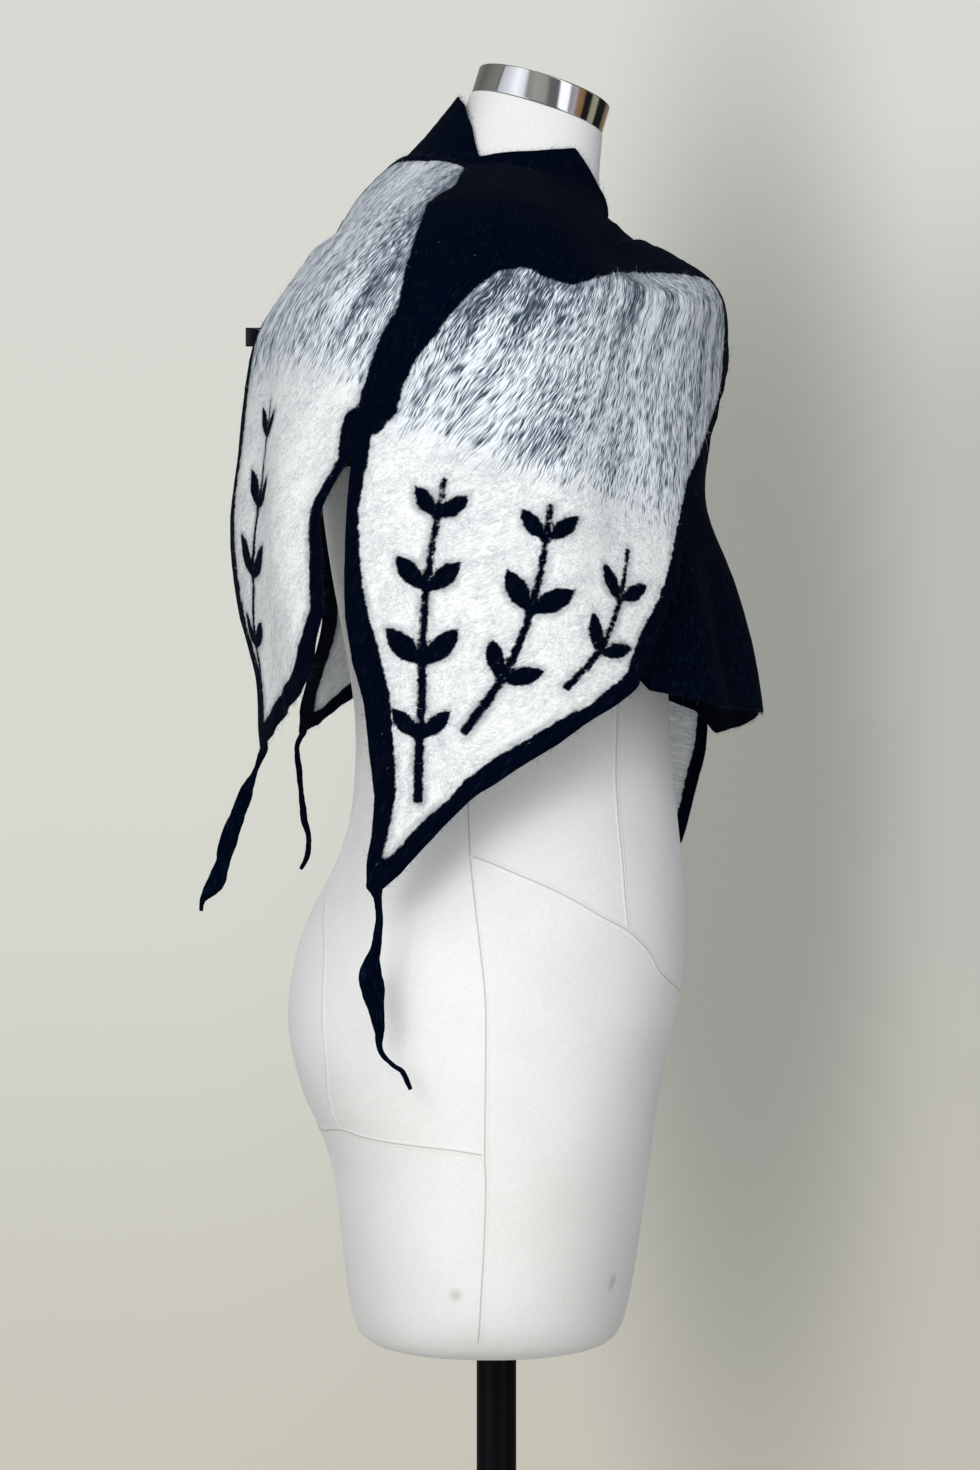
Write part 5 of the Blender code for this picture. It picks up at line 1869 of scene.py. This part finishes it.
@dataclass
class Studio:
    """A plain pale floor, a soft backdrop of light, soft lamps and the camera, with lengths in metres."""

    camera_distance: float = 2.2
    camera_side: float = 0.0044
    camera_height: float = 0.992
    lens: float = 79.2
    floor_radius: float = 1.6
    glow: float = 0.4

    def camera(self) -> None:
        """A level camera on the form's right, as the photograph was taken."""
        data = bpy.data.cameras.new("camera")
        data.lens = self.lens
        data.sensor_width = 36.0
        data.dof.use_dof = False
        seen_from = bpy.data.objects.new("camera", data)
        seen_from.location = (-self.camera_distance, self.camera_side, self.camera_height)
        seen_from.rotation_euler = (math.radians(90), 0.0, math.radians(-90))
        bpy.context.scene.collection.objects.link(seen_from)
        bpy.context.scene.camera = seen_from

    def floor(self) -> None:
        """A pale round floor."""
        bpy.ops.mesh.primitive_circle_add(vertices=96, radius=self.floor_radius, fill_type="NGON")
        floor = bpy.context.object
        floor.name = "floor"
        floor.location.z = -0.0005
        material, _, shader = new_material("matt_floor_paint")
        fill(shader, {"Base Color": "#d3d3cb", "Roughness": 0.9})
        floor.data.materials.append(material)

    def backdrop(self) -> None:
        """A pale wall with painted shade that darkens it towards the form's front and low down and a painted
        shadow of the form, even light, and what the chrome mirrors.
        """
        world = bpy.data.worlds.new("studio")
        world.use_nodes = True
        bpy.context.scene.world = world
        nodes = world.node_tree.nodes
        add = partial(add_node, world.node_tree)
        direction = add("TexCoord").outputs["Generated"]
        x, y, z = add("SeparateXYZ", (direction,)).outputs
        # Painted shade: the wall lighter towards the form's back and at the top, darker towards its front
        # and low down, as the light falls on it
        across = add("MapRange", (y, -0.15, 0.1), **SOFT)
        up = add("MapRange", (z, -0.24, 0.02), **SOFT)
        top = add("MapRange", (z, 0.08, 0.2), **SOFT)
        high = add("Mix", (across, "#bcbdb8", "#d8dad2"), **COLOUR)
        high = add("Mix", (top, high, "#d8d9d3"), **COLOUR)
        low = add("Mix", (across, "#c1bdb2", "#c9c6ba"), **COLOUR)
        wall = add("Mix", (up, low, high), **COLOUR)
        # The form's own soft shade on the wall behind it
        shade_place = add("VectorMath", (direction, (0.0, 16.0, 3.5), (0.0, 1.25, 0.05)), **TIMES_PLUS)
        shade_reach = add("VectorMath", (shade_place,), operation="LENGTH")
        shaded = add("MapRange", (shade_reach, 0.3, 1.1, 0.8, 0.0), **SOFT)
        far_wall = add("Math", (x, 0.5), operation="GREATER_THAN")
        shaded = add("Math", (shaded, far_wall), operation="MULTIPLY")
        wall = add("Mix", (shaded, wall, "#8f908a"), **COLOUR)
        shade = nodes["Background"]
        fill(shade, (wall, 1.0))
        glow = add("Background", ("#eef1f6", self.glow))
        seen = add("LightPath").outputs
        mixed = add("MixShader", (seen["Is Camera Ray"], glow, shade))
        mirrored = add("MixShader", (seen["Is Glossy Ray"], mixed, self.mirrored_room(add, x, y)))
        fill(nodes["World Output"], {"Surface": mirrored})

    def mirrored_room(self, add: Adder, x: Socket, y: Socket) -> Node:
        """A room of lighter and darker uprights, which only glossy surfaces see.

        Args:
            add: adds a node to the world's tree.
            x: how far the ray runs to the form's left side.
            y: how far it runs to the back.

        Returns:
            The room's light.
        """
        forward = add("Math", (y, -1.0), operation="MULTIPLY")
        sideways = add("Math", (x, -1.0), operation="MULTIPLY")
        angle = add("Math", (forward, sideways), operation="ARCTAN2")
        ramp = add("ValToRGB", (add("MapRange", (angle, -math.pi, math.pi)),))
        elements = ramp.color_ramp.elements
        elements[0].color = srgb(ROOM[0][1])
        elements[1].color = srgb(ROOM[-1][1])
        for degrees, colour in ROOM[1:-1]:
            elements.new((degrees + 180) / 360).color = srgb(colour)
        return add("Background", (ramp, 1.25))

    def lamp(
        self, name: str, place: Sequence[float], aim: Sequence[float], size: float, power: float, colour: str
    ) -> None:
        """A square soft lamp.

        Args:
            name: its name.
            place: where it stands, in metres.
            aim: the point that it faces.
            size: its side in metres.
            power: its power in watts.
            colour: its hex colour.
        """
        data = bpy.data.lights.new(name, "AREA")
        data.size = size
        data.energy = power
        data.color = srgb(colour)[:3]
        lamp = bpy.data.objects.new(name, data)
        lamp.visible_camera = False
        lamp.visible_glossy = False
        lamp.location = place
        lamp.rotation_euler = (Vector(aim) - Vector(place)).to_track_quat("-Z", "Y").to_euler()
        bpy.context.scene.collection.objects.link(lamp)

    def lamps(self) -> None:
        """A window's broad light, a key on the camera's left, and a far lamp for the other views."""
        aim = (0.0, 0.0, 1.1)
        self.lamp("window", (-2.8, 0.27, 1.7), aim, 2.6, 48.0, "#fdfeff")
        self.lamp("key", (-2.6, 0.6, 1.5), aim, 0.7, 19.0, "#fffefa")
        self.lamp("far", (2.2, 0.9, 2.1), aim, 1.6, 24.0, "#ffffff")

    def build(self) -> None:
        """Set the whole studio up."""
        self.camera()
        self.floor()
        self.backdrop()
        self.lamps()
        bpy.context.scene.view_settings.view_transform = "Standard"


def main() -> None:
    """Build the studio and every piece, and say how big the result is."""
    logging.basicConfig(level=logging.INFO, format="%(name)s %(message)s")
    wool = WetFeltedWool()
    black = wool.black_material()
    pale = wool.pale_material()
    strand = wool.fibre_material()
    jersey = CottonJersey().material()
    paint = PowderCoat().material()
    Studio().build()

    form = DressForm()
    body = form.skin()
    body_tree = body.tree()
    form.body(body, jersey)
    form.seams(body_tree, jersey)
    form.cap(ChromePlate().material())

    under = UnderWrap()
    under_skin = under.skin(body_tree)
    under_piece = under.piece(under_skin, black)
    outer_tree = under.outer(under_skin).tree()

    sides = (
        Overlay("right", 1.0, 114.0, 10.0, RIGHT_RINGS, RIGHT_HEM, RIGHT_SPRIGS),
        Overlay("left", -1.0, 90.0, 6.0, LEFT_RINGS, LEFT_HEM, LEFT_SPRIGS, yoke_lean=-70.0),
    )
    for number, overlay in enumerate(sides):
        laid = overlay.laid(outer_tree, body_tree)
        borders = overlay.border_field(laid)
        black_mm = np.minimum(borders, overlay.sprig_field(laid.skin, laid.turn))
        made = overlay.piece(laid, borders, black_mm, pale)
        fuzz = LooseFibres(seed=11 + number)
        grown = fuzz.overlay_fuzz(laid, black_mm, overlay.thickness)
        hair = fuzz.piece(f"{overlay.name}_overlay_fibres", *grown, strand, Slot.PALE_WOOL)
    fuzz = LooseFibres(seed=21, length=(1.0, 3.0))
    grown = fuzz.rim_fuzz(under_skin, under.thickness)
    hair = fuzz.piece("under_wrap_fibres", *grown, strand, Slot.BLACK_WOOL)
    for tail in TAILS:
        tail.piece(black)
    TapeTab().piece(SatinTape().material())
    for name in ("pole", "floor_plate"):
        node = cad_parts[name]
        node.data.materials.clear()
        node.data.materials.append(paint)
        log.info("%s: repainted", name)


if __name__ == "__main__":
    main()
